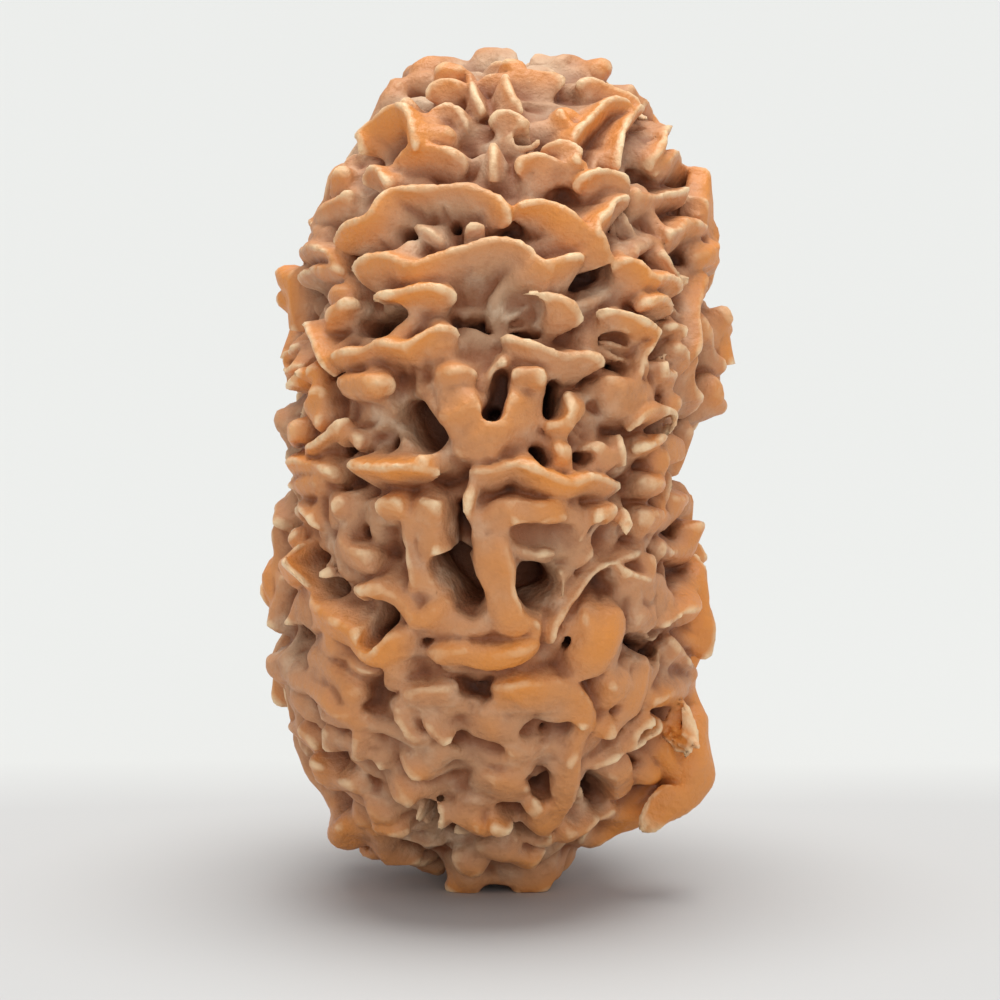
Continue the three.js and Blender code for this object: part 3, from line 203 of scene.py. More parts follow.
# Ridges and lobes seen from the front: breadth, height, then x and v along the middle
lobes = [
    # Left
    [1.1, 1.8, -7, 23.7, -6.2, 23.6], [0.8, 1.7, -7.1, 22.4, -6.4, 22.9, -5.6, 23.3],
    [0.5, 1.8, -7.9, 22.8, -7.5, 21.9, -7, 20.9, -6.7, 20.3],
    [0.5, 1.8, -8.3, 22, -8.75, 21.3, -8.6, 20.8, -8.2, 21],
    [0.5, 1.8, -8.6, 20.8, -8.4, 20.1, -8, 20.3, -8, 20.9], [0.9, 1.7, -7.9, 20.1, -7.3, 20.3],
    [0.9, 1.8, -7.8, 19.3, -7.1, 19.3], [0.9, 1.9, -6.6, 19.95, -5.6, 20.05, -4.2, 20],
    [0.9, 1.7, -7.6, 18.9, -7.2, 18.4], [0.6, 1.8, -7.8, 17.2, -6.9, 18, -6.1, 18.75],
    [0.9, 1.4, -6.2, 18.2, -5.6, 17.7], [1.3, 0.9, -5.2, 19.1, -4.2, 18.7],
    [0.8, 1.9, -3, 17.3, -2.9, 16.7], [0.9, 1.9, -8.6, 16.75, -7.8, 16.6, -6.7, 16.4],
    [0.8, 1.9, -8.7, 15.55, -8, 15.9, -7.3, 16], [0.9, 1.8, -6.9, 15.1, -6.2, 15.05],
    [0.9, 1.9, -4.7, 14.95, -3.9, 14.95], [1.2, 1.7, -3.4, 14.7, -2.2, 14.6, -1.6, 14.4],
    [0.8, 1.8, -8.6, 14.7, -8.1, 14.9], [0.5, 1.8, -8.4, 15.2, -7.7, 14.6, -7.4, 14],
    # Middle
    [0.9, 1.9, -2.2, 20.4, -1.4, 20.45, -0.6, 20.4],
    [1.8, 1.8, -1.5, 19.8, -1.4, 19.2, -0.9, 18.5, -0.3, 17.9, 0.5, 17.6], [0.9, 1.9, 0.9, 20.4, 2, 20.35],
    [1.6, 1.8, 1.4, 20.2, 1.35, 19.2, 1.1, 18.2, 0.9, 17.5],
    [1, 1.8, 3.6, 19.7, 3.65, 19, 3.3, 18.3, 2.4, 18], [1.3, 1.7, -0.8, 17.5, 0.6, 17.4],
    [0.8, 1.7, 3, 17.8, 3, 17, 3.2, 16.4], [1.1, 1.7, 4.5, 17.1, 5, 16.7],
    [0.6, 1.7, 5.4, 17.9, 5.3, 17.1, 5.5, 16.5],
    [0.6, 1.7, 5.7, 18, 6.3, 18.8, 7.2, 18.7, 7.4, 18.1, 6.6, 17.5, 5.9, 17.2],
    [1.6, 1.7, 4.9, 19.4, 6, 19.4, 7, 19.3], [1.1, 1.7, 6.8, 16.9, 7.3, 16.7],
    [0.8, 1.7, 6.2, 15.8, 7.1, 15.75], [1, 1.7, 4.9, 22.6, 5.7, 22.3, 6.2, 21.9],
    [0.5, 1.7, 5.9, 20.95, 6.3, 20.75, 5.9, 20.1], [0.6, 1.8, 6.2, 23, 6.8, 23.35, 7.6, 23],
    [0.6, 1.7, 7.2, 22.4, 7.9, 22.1, 7.6, 21.7], [0.5, 1.7, 7.3, 21.3, 7.1, 20.5, 7.5, 20.1, 7.45, 19.6],
    [0.7, 1.7, 7.4, 21.6, 7.9, 20.9, 8.05, 20.2],
    [1, 1.8, 9, 24.2, 8.9, 23.4, 8.7, 22.4, 8.5, 21.4, 8.2, 20.5],
    # Lower left
    [1.9, 1.9, 0, 14.25, 1.6, 14.25, 3.2, 14.2], [1.6, 1.9, -0.1, 13.6, 0.2, 12.3, 0.7, 11, 1.2, 9.8],
    [1, 1.9, -2.8, 8.75, -1.5, 8.9, 0, 8.75, 1.1, 8.95, 2, 9.2],
    [0.9, 1.8, -6, 11.3, -5, 11.5, -4.2, 11, -3.4, 10.2, -2.6, 10.5, -1.8, 10.9],
    [1.7, 1.7, -3.2, 11.2, -2.3, 11.5],
    [1.2, 1.7, -1.8, 11.2, -2.2, 11.9, -2.7, 12.5, -2.8, 13.3, -2.6, 14.1],
    [1.1, 1.6, -6.7, 14.4, -6.5, 13.3, -5.7, 12.9, -4.7, 12.8],
    [1.3, 2, -8.1, 11.3, -7.9, 10.8, -7.1, 10.3, -6.2, 9.7, -5.2, 9.1, -4.3, 9.2, -3.4, 9.3],
    [1.1, 2.3, -8, 12.2, -8.7, 12.3, -9.3, 12.3], [0.6, 1.6, -8, 11.6, -7.4, 12.05, -6.9, 12.3],
    [1, 1.7, -8, 9, -7.2, 8.6, -6.6, 8.1, -6.2, 7.5, -5.5, 7.25],
    [0.7, 1.8, -8.4, 8.3, -7.6, 7.9, -6.9, 7.4, -6.5, 6.85, -5.6, 6.7],
    [0.9, 1.5, -3.7, 9.2, -4.2, 8.2, -4.6, 7.4], [1, 1.8, -3.9, 7.2, -2.6, 7.3, -1.3, 7.3],
    [0.8, 1.7, -4, 6.8, -3.8, 6.1, -3.3, 5.6, -2.4, 5.3],
    [0.8, 1.7, -2.8, 6.5, -2.5, 5.9, -1.9, 5.3, -1.2, 4.8], [2, 1.6, -1, 6.1, -0.2, 5.7, 0.5, 5, 0.6, 4],
    [0.6, 1.7, -6.8, 6, -6.75, 5.2], [0.6, 1.7, -5.6, 6.1, -5.7, 5.2, -5.75, 4.5],
    [0.8, 1.7, -7.1, 6.8, -6.5, 6.4, -5.2, 6.3], [1.2, 1.9, -8.4, 7.9, -8.2, 7.1, -7.7, 6.9],
    [1.1, 1.9, -7.9, 5.9, -7.5, 5.4], [0.9, 1.9, -7.3, 4.6, -7.2, 4], [0.8, 1.8, -8.8, 10.8, -8.4, 9.7],
    # Lower right
    [0.8, 1.5, 3, 12.4, 2.9, 11.4, 2.7, 10.8],
    [0.5, 1.2, 2.4, 9.5, 2.6, 10.3, 3.6, 11.3, 4.6, 12.4, 6, 13, 6.8, 13.9],
    [1.4, 1.9, 4.7, 10.8, 4.7, 9.8, 4.4, 9.1, 3.7, 8.8], [0.7, 1.7, 5.5, 14.7, 5.6, 14.2, 5.3, 13.3],
    [0.9, 1.8, 4.6, 14.4, 5.2, 14.7], [1, 1.7, 6.2, 14.4, 7.2, 14.3, 8, 14.5],
    [0.6, 1.7, 6.75, 12.8, 6.75, 12.1], [0.8, 1.7, 7.1, 13.2, 7.9, 13.1, 8.6, 12.6],
    [0.5, 1.7, 5.4, 12.4, 6.1, 12.05, 6.9, 11.7], [1.6, 1.7, 5.7, 11.1, 6.7, 11.1, 7.6, 11.4],
    [1.1, 1.9, 6.4, 10.3, 6.9, 10.1], [0.5, 1.9, 7.2, 9.8, 7.6, 10.3, 8.3, 10.8, 8.7, 11.6, 8.9, 12.6],
    [0.5, 1.7, 8.1, 9.2, 8.4, 9.9, 8.6, 10.9], [1.5, 1.8, 5.4, 8.2, 5.4, 7.4, 5.6, 7],
    [0.6, 1.7, 6.8, 8.9, 6.4, 7.9, 6.1, 7.1], [0.6, 1.8, 7.8, 9.3, 8.1, 8.1, 7.5, 7.4, 6.6, 7],
    [0.8, 1.8, 9, 12, 9.1, 10.8, 9, 9.4, 8.9, 8.4],
    [1.8, 1.8, 0.5, 6.8, 1.3, 7.2, 2.5, 7.2, 3.5, 6.7, 3.8, 5.9, 3.4, 5.3],
    [1, 1.8, 3.9, 5.2, 3.4, 4.4, 3.2, 3.4, 2.9, 2.4, 2.6, 1.5],
    [0.9, 2, 7.3, 7.1, 8.3, 6.9, 8.7, 6.2, 8.6, 5.2, 8.2, 4, 7.6, 3.3, 7, 3.5, 6.6, 4.1],
    [1.7, 1.9, 7.9, 6, 7.8, 5, 7.4, 3.9], [1.2, 1.9, 5.9, 5.3, 6.7, 5.35], [0.7, 1.9, 6.5, 6.1, 7.1, 5.5],
    [0.8, 1.8, 4.9, 6.3, 4.9, 5.8, 4.5, 5.5],
    # Bottom
    [1.8, 1.7, -0.8, 3.4, 0.3, 3.3, 1.5, 3.2], [1.2, 1.8, -1.1, 2.5, -1.1, 1.9, -0.5, 1.5, 0.3, 1.4],
    [0.9, 1.8, 1.9, 2.9, 2.1, 2.2, 2.4, 1.4, 2.5, 0.8], [0.9, 2, -1.4, 0.3, -0.9, 0, -0.2, 0.2],
    [0.9, 1.9, -0.1, 0.6, 0.8, 0.5, 1.8, 0.4, 2.5, 0.6], [1, 1.9, 3, 1.3, 3.9, 1.4, 4.7, 1.9, 5.7, 2.2],
    [1.4, 1.8, 5.5, 4.1, 5.7, 3.2, 5.3, 2.5], [1.1, 2, 4.2, 0.9, 5, 1.2, 5.4, 1.8],
    [1.1, 1.9, -4.4, 3.5, -3.9, 2.8, -3.4, 2.5], [1.3, 1.9, -5.6, 2.7, -5, 2.2, -4.2, 1.8],
    [0.8, 2, -5.3, 1.7, -4.4, 1.5, -3.6, 1.2], [0.9, 1.8, -4, 4.6, -3.3, 3.9, -2.8, 3.5],
    [0.9, 1.7, -7.3, 3.9, -6.5, 3.7, -5.6, 3.6],
]

# Knobs on the outline and between ridges: x, v and height
knobs = [
    [-1.8, 33.1, 2.2], [0.8, 33.3, 2.2], [4.9, 32.8, 2], [6.1, 31.7, 2], [8.6, 28.8, 2],
    [-8.5, 24.8, 1.9], [-8.7, 23.5, 1.9], [-8.2, 17.9, 1.8], [7.6, 19, 1.7], [7.7, 17.4, 1.8],
    [8, 15.2, 1.8], [8.6, 13.6, 1.8], [-8.6, 13.6, 1.8], [-8.7, 8.7, 1.8], [0.3, 1.95, 1.8],
    [-2.1, 30.3, 1.8], [-6.1, 5.45, 1.5], [9.1, 24.9, 1.9], [-7.3, 26, 1.6],
]

# Pits seen from the front: x, v, radius and depth below the floor
pits = [
    [-3.6, 25.8, 0.45, 1], [-1.7, 26.3, 0.4, 0.9], [-0.9, 29.4, 0.3, 0.6], [5.9, 29.9, 0.4, 1.2],
    [1.3, 29.7, 0.4, 0.9], [5.5, 26.5, 0.45, 1.2], [-4.3, 22.5, 0.7, 1.2], [-0.4, 22.8, 0.35, 0.9],
    [1.3, 22.8, 0.45, 1], [4.8, 21.6, 0.35, 0.9], [5.3, 20.8, 0.45, 0.9], [6.5, 21, 0.3, 0.8],
    [-4.3, 17.6, 0.4, 1.2], [-6.15, 17.3, 0.35, 1.1], [0.1, 18.8, 0.42, 1.2], [2.5, 18.8, 0.4, 1],
    [1.9, 17.1, 0.35, 1.3], [3.7, 16.9, 0.35, 0.7], [6.5, 18.2, 0.4, 1.1], [-7.7, 15.4, 0.35, 0.9],
    [4.1, 14.2, 0.3, 1], [6.5, 15.1, 0.3, 0.9], [-3.75, 13.4, 0.4, 1.2], [-1.9, 12.5, 0.4, 1.2],
    [-0.9, 11.3, 0.6, 1.3], [-4.7, 10.7, 0.45, 1.1], [1.7, 11.8, 0.7, 1.3], [-7.3, 13, 0.4, 0.8],
    [-6.3, 12.1, 0.3, 0.8], [-3.5, 6.4, 0.3, 0.7], [-6.2, 5, 0.35, 1], [1.8, 4.3, 0.5, 1.2],
    [7.9, 6.3, 0.3, 0.8], [1, 2, 0.5, 0.8], [-2.3, 2.2, 0.4, 0.8], [2.2, 5.9, 0.4, 0.4],
]

# Broad mounds that lift the floor at the front: x, v, half width, half height and rise
mounds = [
    # Middle
    [0.5, 17.4, 2, 0.8, 1.2], [-1.5, 19.6, 1, 1.3, 1.2], [1.4, 19.3, 0.8, 1.6, 1.2],
    [3.2, 17.9, 0.9, 1.2, 1.1], [5.6, 19.3, 1.7, 0.9, 1], [4.7, 17, 0.9, 0.8, 1],
    [-4.7, 18.8, 1.1, 0.7, 0.7], [1.5, 14.2, 2.7, 1.2, 1.3], [0.2, 12.2, 0.9, 2.2, 1.2],
    [0.9, 10.4, 1.1, 1.5, 1.2], [2.9, 11.6, 0.6, 1.2, 0.8],
    # Lower left
    [-2.7, 13.6, 0.9, 1.9, 1.1], [-2.7, 11.3, 1.3, 1, 1.2], [-6.3, 14.3, 1.3, 1.2, 1],
    [-4.4, 14.9, 1.6, 0.6, 1], [-5.2, 12.6, 1.8, 0.7, 0.8], [-7.2, 10.9, 1.2, 0.9, 1.2],
    [-5.9, 9.7, 1.3, 0.7, 1.2], [-5, 9.1, 1, 0.7, 1.2], [-0.5, 9.1, 2.6, 0.7, 1.1],
    [-2.2, 7.2, 1.9, 0.6, 1], [-3.2, 5.6, 1, 0.9, 0.8], [-6.9, 7.7, 1.9, 1.2, 1],
    [-5.4, 5.4, 1.4, 1.2, 0.7], [-3.3, 4.2, 1.1, 1.1, 0.9],
    # Lower right
    [4.3, 9.8, 1.1, 1.6, 1.2], [1, 6.2, 1.9, 1.5, 1.1], [3.2, 6.4, 1.3, 1.5, 1.2],
    [-0.3, 4.3, 1.9, 1.6, 1.1], [5.6, 8, 1.2, 1.1, 1.2], [7.2, 8.6, 1, 1.3, 1.1],
    [6.6, 10.9, 1.3, 0.8, 1.1], [6.3, 14.2, 1.6, 1, 0.9], [4.4, 13.2, 1.6, 0.8, 0.8],
    [3.1, 3.4, 0.8, 1.8, 1.1], [5.6, 3.3, 0.9, 1.4, 1.1], [4.6, 1.8, 1.3, 0.6, 1.1],
    [6.4, 5.4, 1.2, 0.7, 1.2],
]

# Hollows at the front, wider than pits: radius, depth, then x and v along the middle
hollows = [
    [0.6, 1.1, -1.9, 12.4, -1.2, 11.7, -0.8, 11], [0.75, 1.1, 1.6, 12.1, 2.1, 12, 1.9, 11.3],
    [0.4, -0.5, 0.3, 20.2, 0.2, 19.2], [0.4, 0.2, -1.5, 15, -1.4, 13.2], [0.6, -1.75, 1.3, 13.9, 2.8, 13.9],
    [0.6, -1.5, 1.4, 6, 2.6, 6.1], [0.5, -1.3, -1.1, 5.5, 0.1, 5.2], [0.45, -1.2, 0.3, 3, 1, 2.8],
    [0.35, 1, 1.9, 17.2, 2, 16.95], [0.42, 1, -4.7, 11, -4.4, 10.4, -4.6, 9.9],
    [0.75, -0.1, -3.1, 18.6, -2.6, 17.8], [0.35, 0.9, 2.5, 19.7, 2.4, 18.8], [0.3, 1, -0.6, 22.8, 0, 22.6],
    [0.3, 1, 0.9, 22.75, 1.7, 22.6], [0.5, 0.9, -5.2, 22.4, -3.7, 22.7], [0.3, 1.1, 1.4, 4.2, 2.1, 3.6],
    [0.4, 0.9, 0.6, 2.1, 1.7, 1.9], [0.45, 1, -2.5, 2.8, -2.1, 1.4], [0.5, 0.4, 4.2, 3.7, 4.4, 2.9],
    [0.4, 0.6, 6.1, 6.4, 5.6, 5.9], [0.45, 0.8, 6.3, 4.3, 6.9, 3.8], [0.35, 0.8, 5.7, 9.6, 6.7, 9.2],
    [0.45, 0.5, -7.3, 12.9, -6.6, 11.8], [0.3, 0.7, -8, 10.2, -7.4, 9.8],
    [0.35, 0.8, -7.9, 15.5, -7.5, 15.4],
]

# Smooth lobes at the front: x, v, rise of the middle, half width, half height, half depth and turn
blobs = [
    [7.7, 4.95, 0.2, 1.1, 2.2, 1.35, -12], [4.2, 9.7, 1, 0.85, 1.5, 0.9, -32],
    [5.5, 3.5, 0.7, 0.95, 1.35, 1.3, 5], [5.4, 7.7, 0.8, 0.8, 1, 1, 0], [7, 8, 0.5, 0.9, 1.3, 1.1, 20],
    [7, 10.9, 0.6, 1.3, 0.75, 1, 10], [-5.5, 2.6, 0.6, 1.1, 0.8, 1.4, 35],
    [-0.85, 0.75, 0.5, 0.85, 0.85, 1.2, 0], [1.4, 1, 0.5, 1.2, 0.75, 1.2, 0],
    [-2.2, 2.9, 0.7, 0.9, 0.6, 0.9, 40], [0.2, 1.5, 0.9, 1, 0.6, 0.9, 0],
]

# The grooves that show at the front, as x and v of their points
slits = [
    [-6.4, 20.6, -5.3, 20.65, -3.5, 20.7, -2.3, 20.9, -0.7, 20.95, 0.7, 20.95, 2, 20.75, 3, 20.45,
     4.2, 20.25],
    [-5.3, 15.5, -4, 15.55, -1.9, 15.35, -0.6, 15.45, 1, 15.6, 3, 15.5, 5.6, 15.25],
    [-7.6, 9.4, -6.6, 8.8, -5.8, 8.3, -5, 8.15],
    [-3.9, 8.05, -3, 8, -1.9, 8.05, -1, 8, 0, 8.1, 1.2, 8.2, 2.5, 8.5], [2.9, 8.2, 4, 8.15, 4.5, 7.6],
    [5.3, 9.1, 6, 9.3, 6.8, 9.2], [-5.6, 24.4, -4, 24.4, -2.5, 24.5, 0, 24.3, 1.5, 24.3, 3, 24.4],
    [-2.6, 2.6, -2.1, 1.8, -1.9, 1], [2.8, 0.8, 3.6, 0.6],
]

# Low ridges under the seed, as x and y of their points
footLines = [
    [[-1.8, -2.9], [-0.6, -3.2], [0.9, -2.8], [2.5, -3.1]],
    [[-2.2, 2.9], [-0.9, 3.2], [1, 2.8], [2.6, 3.1]],
    [[-1.2, -0.5], [0, 0.2], [0.1, 0.1], [1.4, -0.2]],
]


def curvePoints(points, step):
    # evenly spaced points of a centripetal curve through the given ones
    points = [np.array(p, float) for p in points]
    line = [2 * points[0] - points[1]] + points + [2 * points[-1] - points[-2]]
    dense = []
    for a, b, c, d in zip(line, line[1:], line[2:], line[3:]):
        gaps = [max(np.linalg.norm(q - p), 1e-4) ** 0.5 for p, q in ((a, b), (b, c), (c, d))]
        start = ((b - a) / gaps[0] - (c - a) / (gaps[0] + gaps[1]) + (c - b) / gaps[1]) * gaps[1]
        end = ((c - b) / gaps[1] - (d - b) / (gaps[1] + gaps[2]) + (d - c) / gaps[2]) * gaps[1]
        for t in np.linspace(0, 1, 12, endpoint=False):
            dense.append(b + start * t + (3 * (c - b) - 2 * start - end) * t ** 2
                         + (2 * (b - c) + start + end) * t ** 3)
    dense.append(points[-1])
    dense = np.array(dense)
    run = np.concatenate(([0], np.cumsum(np.linalg.norm(np.diff(dense, axis=0), axis=1))))
    pieces = max(1, round(run[-1] / step))
    return np.stack([np.interp(np.linspace(0, run[-1], pieces + 1), run, dense[:, k]) for k in range(3)], 1)


ridges = []
crestLine = {
    "step": 0.45, "dipStep": 1.2, "dips": (-1, 0.2), "lump": 0.18, "endDip": 0.2, "nextDip": 0.4,
    "mostRise": 1.2, "ledgeEdge": 0.4, "ledgeFacing": 1.0, "lobeEdge": 0.0, "lobeFacing": 0.35,
    "knobHalf": 0.3, "knobWide": 1.0,
}
lumps = np.random.default_rng(grain["lumpSeed"])


def addRidge(crest, tall, wide, lump=crestLine["lump"], facing=0.0):
    # lump is how far, in mm, the crest dips here and there along its run, and facing is how steeply
    # its outer face falls back below the upper edge
    line = curvePoints(crest, crestLine["step"])
    run = np.arange(len(line)) * crestLine["step"]
    knots = np.arange(0, run[-1] + 2 * crestLine["dipStep"], crestLine["dipStep"])
    dips = np.interp(run, knots, lumps.uniform(*crestLine["dips"], len(knots))) * lump
    if len(line) > 3:
        dips[[0, -1]] -= crestLine["endDip"] + lump
        dips[[1, -2]] -= crestLine["nextDip"] * lump
    rises = [max(tall, min(riseOf(point), tall + crestLine["mostRise"])) for point in line]
    points = np.array([lifted(point, rise + dip) for point, rise, dip in zip(line, rises, dips)])
    ridges.append({"points": points, "crest": crest, "tall": max(rises), "wide": wide, "facing": facing})


def frontRidge(wide, tall, line, edgeShare, facing):
    crest = []
    for i in range(0, len(line), 2):
        before, after = max(i - 2, 0), min(i + 2, len(line) - 2)
        run = abs(line[after] - line[before])
        level = run / math.hypot(run, line[after + 1] - line[before + 1])
        crest.append(seen(line[i], line[i + 1] - edgeShare * wide * level, tall))
    addRidge(crest, tall, wide, facing=facing)


for wide, tall, *line in ledges:
    frontRidge(wide, tall, line, crestLine["ledgeEdge"], crestLine["ledgeFacing"])
for wide, tall, *line in lobes:
    frontRidge(wide, tall, line, crestLine["lobeEdge"], crestLine["lobeFacing"])
for knobX, knobV, tall in knobs:
    ends = [seen(knobX + side * crestLine["knobHalf"], knobV, tall) for side in (-1, 1)]
    addRidge(ends, tall, crestLine["knobWide"])

# Out of the photograph's view, ridges grow step by step from spots spread evenly over the shell.
# Most run from pole to pole, and each stops where it comes near another ridge.
growth = {
    "open": 0.12, "pole": 0.22, "poleLatitude": 52, "tries": 1600, "stride": 607, "step": 0.95,
    "fewest": 2, "most": 4, "clear": 1.45, "near": 1.1, "roundShare": 0.22, "roundLatitude": 40,
    "joinShare": 0.5, "startTurn": 28, "stepTurn": 24, "tall": (1.5, 2.1), "wide": (0.75, 1.05), "lump": 0.55,
    "frontStep": 0.75, "spareSpots": 4000,
}


def drawFrom(state):
    # seeded draw of numbers from 0 to 1, in 32-bit arithmetic
    keep = 0xffffffff
    while True:
        state = (state + 0x6d2b79f5) & keep
        mixed = ((state ^ (state >> 15)) * (1 | state)) & keep
        mixed = (((mixed + (((mixed ^ (mixed >> 7)) * (61 | mixed)) & keep)) & keep) ^ mixed) & keep
        yield (mixed ^ (mixed >> 14)) / 4294967296


drawn = drawFrom(grain["growthSeed"])


def between(low, high):
    return low + (high - low) * next(drawn)


def eitherWay(most):
    return between(-most, most)


def isHidden(latitude, turn):
    point = skin(latitude, turn, 1)
    towards = (eye - point) / np.linalg.norm(eye - point)
    limit = growth["pole"] if abs(math.degrees(latitude)) > growth["poleLatitude"] else growth["open"]
    return outward(point) @ towards < limit


def stepFrom(spot, heading):
    # a step along the shell, at an angle to the way from pole to pole
    latitude, turn = spot
    small = 0.01
    alongPole = skin(latitude + small, turn, 1) - skin(latitude - small, turn, 1)
    roundAxis = skin(latitude, turn + small, 1) - skin(latitude, turn - small, 1)
    point = (skin(latitude, turn, 1)
             + alongPole / np.linalg.norm(alongPole) * growth["step"] * math.cos(heading)
             + roundAxis / np.linalg.norm(roundAxis) * growth["step"] * math.sin(heading))
    return placeOf(point, 1)


taken = [lifted(point, 1) for ridge in ridges
         for point in curvePoints(ridge["crest"], growth["frontStep"])]
takenCount = len(taken)
taken = np.array(taken + [np.zeros(3)] * growth["spareSpots"])


def isClear(spot, distance):
    away = taken[:takenCount] - skin(*spot, 1)
    return (away * away).sum(1).min() >= distance ** 2


def walked(start, heading, turns, steps, near, joins, onlyHidden):
    # spots both ways from a start, until a way comes near another ridge, which it may then join
    halves = []
    for half in (0, 1):
        spots, here, way = [], start, heading + half * math.pi
        for turn in turns[half * len(turns) // 2:][:steps]:
            way += turn
            here = stepFrom(here, way)
            clear = isClear(here, near)
            if (onlyHidden and not isHidden(*here)) or not (clear or joins[half]):
                break
            spots.append(here)
            if not clear:
                break
        halves.append(spots)
    return halves[1][::-1] + [start] + halves[0]


def keepRidge(line, tall, wide, lump):
    global takenCount
    taken[takenCount:takenCount + len(line)] = [skin(*spot, 1) for spot in line]
    takenCount += len(line)
    addRidge([skin(*spot, tall) for spot in line], tall, wide, lump)


goldenTurn = math.pi * (3 - math.sqrt(5))


def spreadSpot(n, rules):
    # the spots lie evenly over the shell, and their order jumps about
    i = n * rules["stride"] % rules["tries"]
    return math.asin(1 - 2 * (i + 0.5) / rules["tries"]), i * goldenTurn % (2 * math.pi)


def grownRidge(start):
    tall, wide = between(*growth["tall"]), between(*growth["wide"])
    steps = growth["fewest"] + int((growth["most"] - growth["fewest"] + 1) * next(drawn))
    goesRound = next(drawn) < growth["roundShare"] and abs(math.degrees(start[0])) < growth["roundLatitude"]
    heading = math.radians((90 if goesRound else 0) + eitherWay(growth["startTurn"]))
    turns = [math.radians(eitherWay(growth["stepTurn"])) for i in range(2 * growth["most"])]
    joins = [next(drawn) < growth["joinShare"] for half in (0, 1)]
    if isHidden(*start) and isClear(start, growth["clear"]):
        line = walked(start, heading, turns, steps, growth["near"], joins, True)
        if len(line) > 2:
            keepRidge(line, tall, wide, growth["lump"])


for n in range(growth["tries"]):
    grownRidge(spreadSpot(n, growth))

# Low ridges under the seed, which reach just past the ground and lift off it at their ends
foot = {"endRise": 0.55, "squeeze": 0.85, "sag": 0.75, "wide": 0.7, "lump": 0.0}
for line in footLines:
    for pair in zip(line[::2], line[1::2]):
        ends = [np.array((px, foot["squeeze"] * py, foot["endRise"])) for px, py in pair]
        middle = (ends[0] + ends[1]) / 2 - np.array((0, 0, foot["sag"]))
        addRidge([ends[0], middle, ends[1]], riseOf(middle), foot["wide"], foot["lump"])
print("ridges", len(ridges))

# Low webs cross the floors that are still bare, and small pits open between them out of view
webs = {
    "tries": 3000, "stride": 1013, "clear": 0.75, "join": 0.35, "tall": (0.6, 1.5), "wide": (0.35, 0.9),
    "bend": 0.5, "steps": 2, "lump": 0.3, "pitShare": 0.3, "pitRadius": (0.2, 0.42), "pitDepth": (0.6, 1.2),
}
hiddenPits = []
for n in range(webs["tries"]):
    start = spreadSpot(n, webs)
    tall, wide, heading = between(*webs["tall"]), between(*webs["wide"]), between(0, math.pi)
    bends = [eitherWay(webs["bend"]) for k in range(2 * webs["steps"])]
    isPit = next(drawn) < webs["pitShare"]
    if not isClear(start, webs["clear"]):
        continue
    if isPit and isHidden(*start):
        hiddenPits.append((skin(*start, 1), between(*webs["pitRadius"]), between(*webs["pitDepth"])))
        continue
    line = walked(start, heading, bends, webs["steps"], webs["join"], (True, True), False)
    keepRidge(line, tall, wide, webs["lump"])
print("with webs", len(ridges), "pits out of view", len(hiddenPits))

# The grid that the field lives on
voxel = grain["voxel"]
corner = np.array(grain["corner"])
dims = tuple(int(round(size / voxel)) for size in grain["span"])
axes = [(corner[k] + voxel * np.arange(dims[k])).astype(np.float32) for k in range(3)]
xs, ys, zs = np.meshgrid(*axes, indexing="ij", sparse=True)
random = np.random.default_rng(grain["seed"])


def cloud(size):
    # smooth random field from -1 to 1 whose lumps are about size mm apart
    counts = [int(dims[k] * voxel / size) + 4 for k in range(3)]
    field = random.uniform(-1, 1, counts)
    for k in range(3):
        place = np.arange(dims[k]) * voxel / size + 1
        cell = place.astype(int)
        t = place - cell
        weights = np.zeros((dims[k], counts[k]))
        rows = np.arange(dims[k])
        for shift, share in ((-1, (1 - t) ** 3 / 6), (0, (3 * t ** 3 - 6 * t ** 2 + 4) / 6),
                             (1, (-3 * t ** 3 + 3 * t ** 2 + 3 * t + 1) / 6), (2, t ** 3 / 6)):
            weights[rows, cell + shift] += share
        field = np.moveaxis(np.tensordot(weights, field, (1, k)), 0, k)
    return (field * grain["cloudGain"]).astype(np.float32)


def meld(a, b, soft):
    # the nearer of two distances, rounded where they meet
    h = np.clip(0.5 + 0.5 * (b - a) / soft, 0, 1)
    return b + (a - b) * h - soft * h * (1 - h)


def clouds(parts):
    # sum of smooth fields, each given as its size and strength
    return sum(cloud(size) * strength for size, strength in parts)


# The body's own field. Its lumps are given as size, strength, and what is added out of view,
# where hidden is 1.
uneven = {
    "frontHalf": 5.5, "sideFade": 2, "frontDepth": -6, "backFade": 4,
    "warp": ((2.2, 0.2, 0.25), (0.9, 0.07, 0.1)), "skin": ((1.6, 0.3), (0.75, 0.12)), "span": (-4, 6),
}
hidden = np.clip(np.maximum((np.abs(xs) - uneven["frontHalf"]) / uneven["sideFade"],
                            (ys - uneven["frontDepth"]) / uneven["backFade"]), 0, 1) + 0 * zs
warp = [sum(cloud(size) * (push + more * hidden) for size, push, more in uneven["warp"]) for k in range(3)]
x, y, z = xs + warp[0], ys + warp[1], zs + warp[2]
rise = body["floorLevel"]
yShare, zShare = y / (halfDepth + rise), (z - middleHeight) / (halfHeight + rise)
reach = np.hypot(yShare, zShare)
shifted = x - lean * zShare / np.maximum(reach, 1e-3)
away = np.degrees(np.arccos(np.clip(np.abs(yShare) / np.maximum(reach, 1e-3), 0, 1))) / body["waistTurn"]
waist = np.where(shifted < 0, body["waistLeft"], body["waistRight"])
thick = halfThickness - waist * np.exp(-away * away) + rise
out = np.abs(shifted) + body["navelDepth"] * np.exp(-(reach * halfHeight / body["navelRadius"]) ** 2)
level = ((out / thick) ** (2 / squareness) + reach ** (2 / squareness)) ** (squareness / 2) - 1
slope = np.sqrt(sum(g ** 2 for g in np.gradient(level, voxel)))
shell = (level / np.maximum(slope, 0.02)).astype(np.float32)
shell = np.clip(shell, *uneven["span"]) - clouds(uneven["skin"])
floorField = shell.copy()
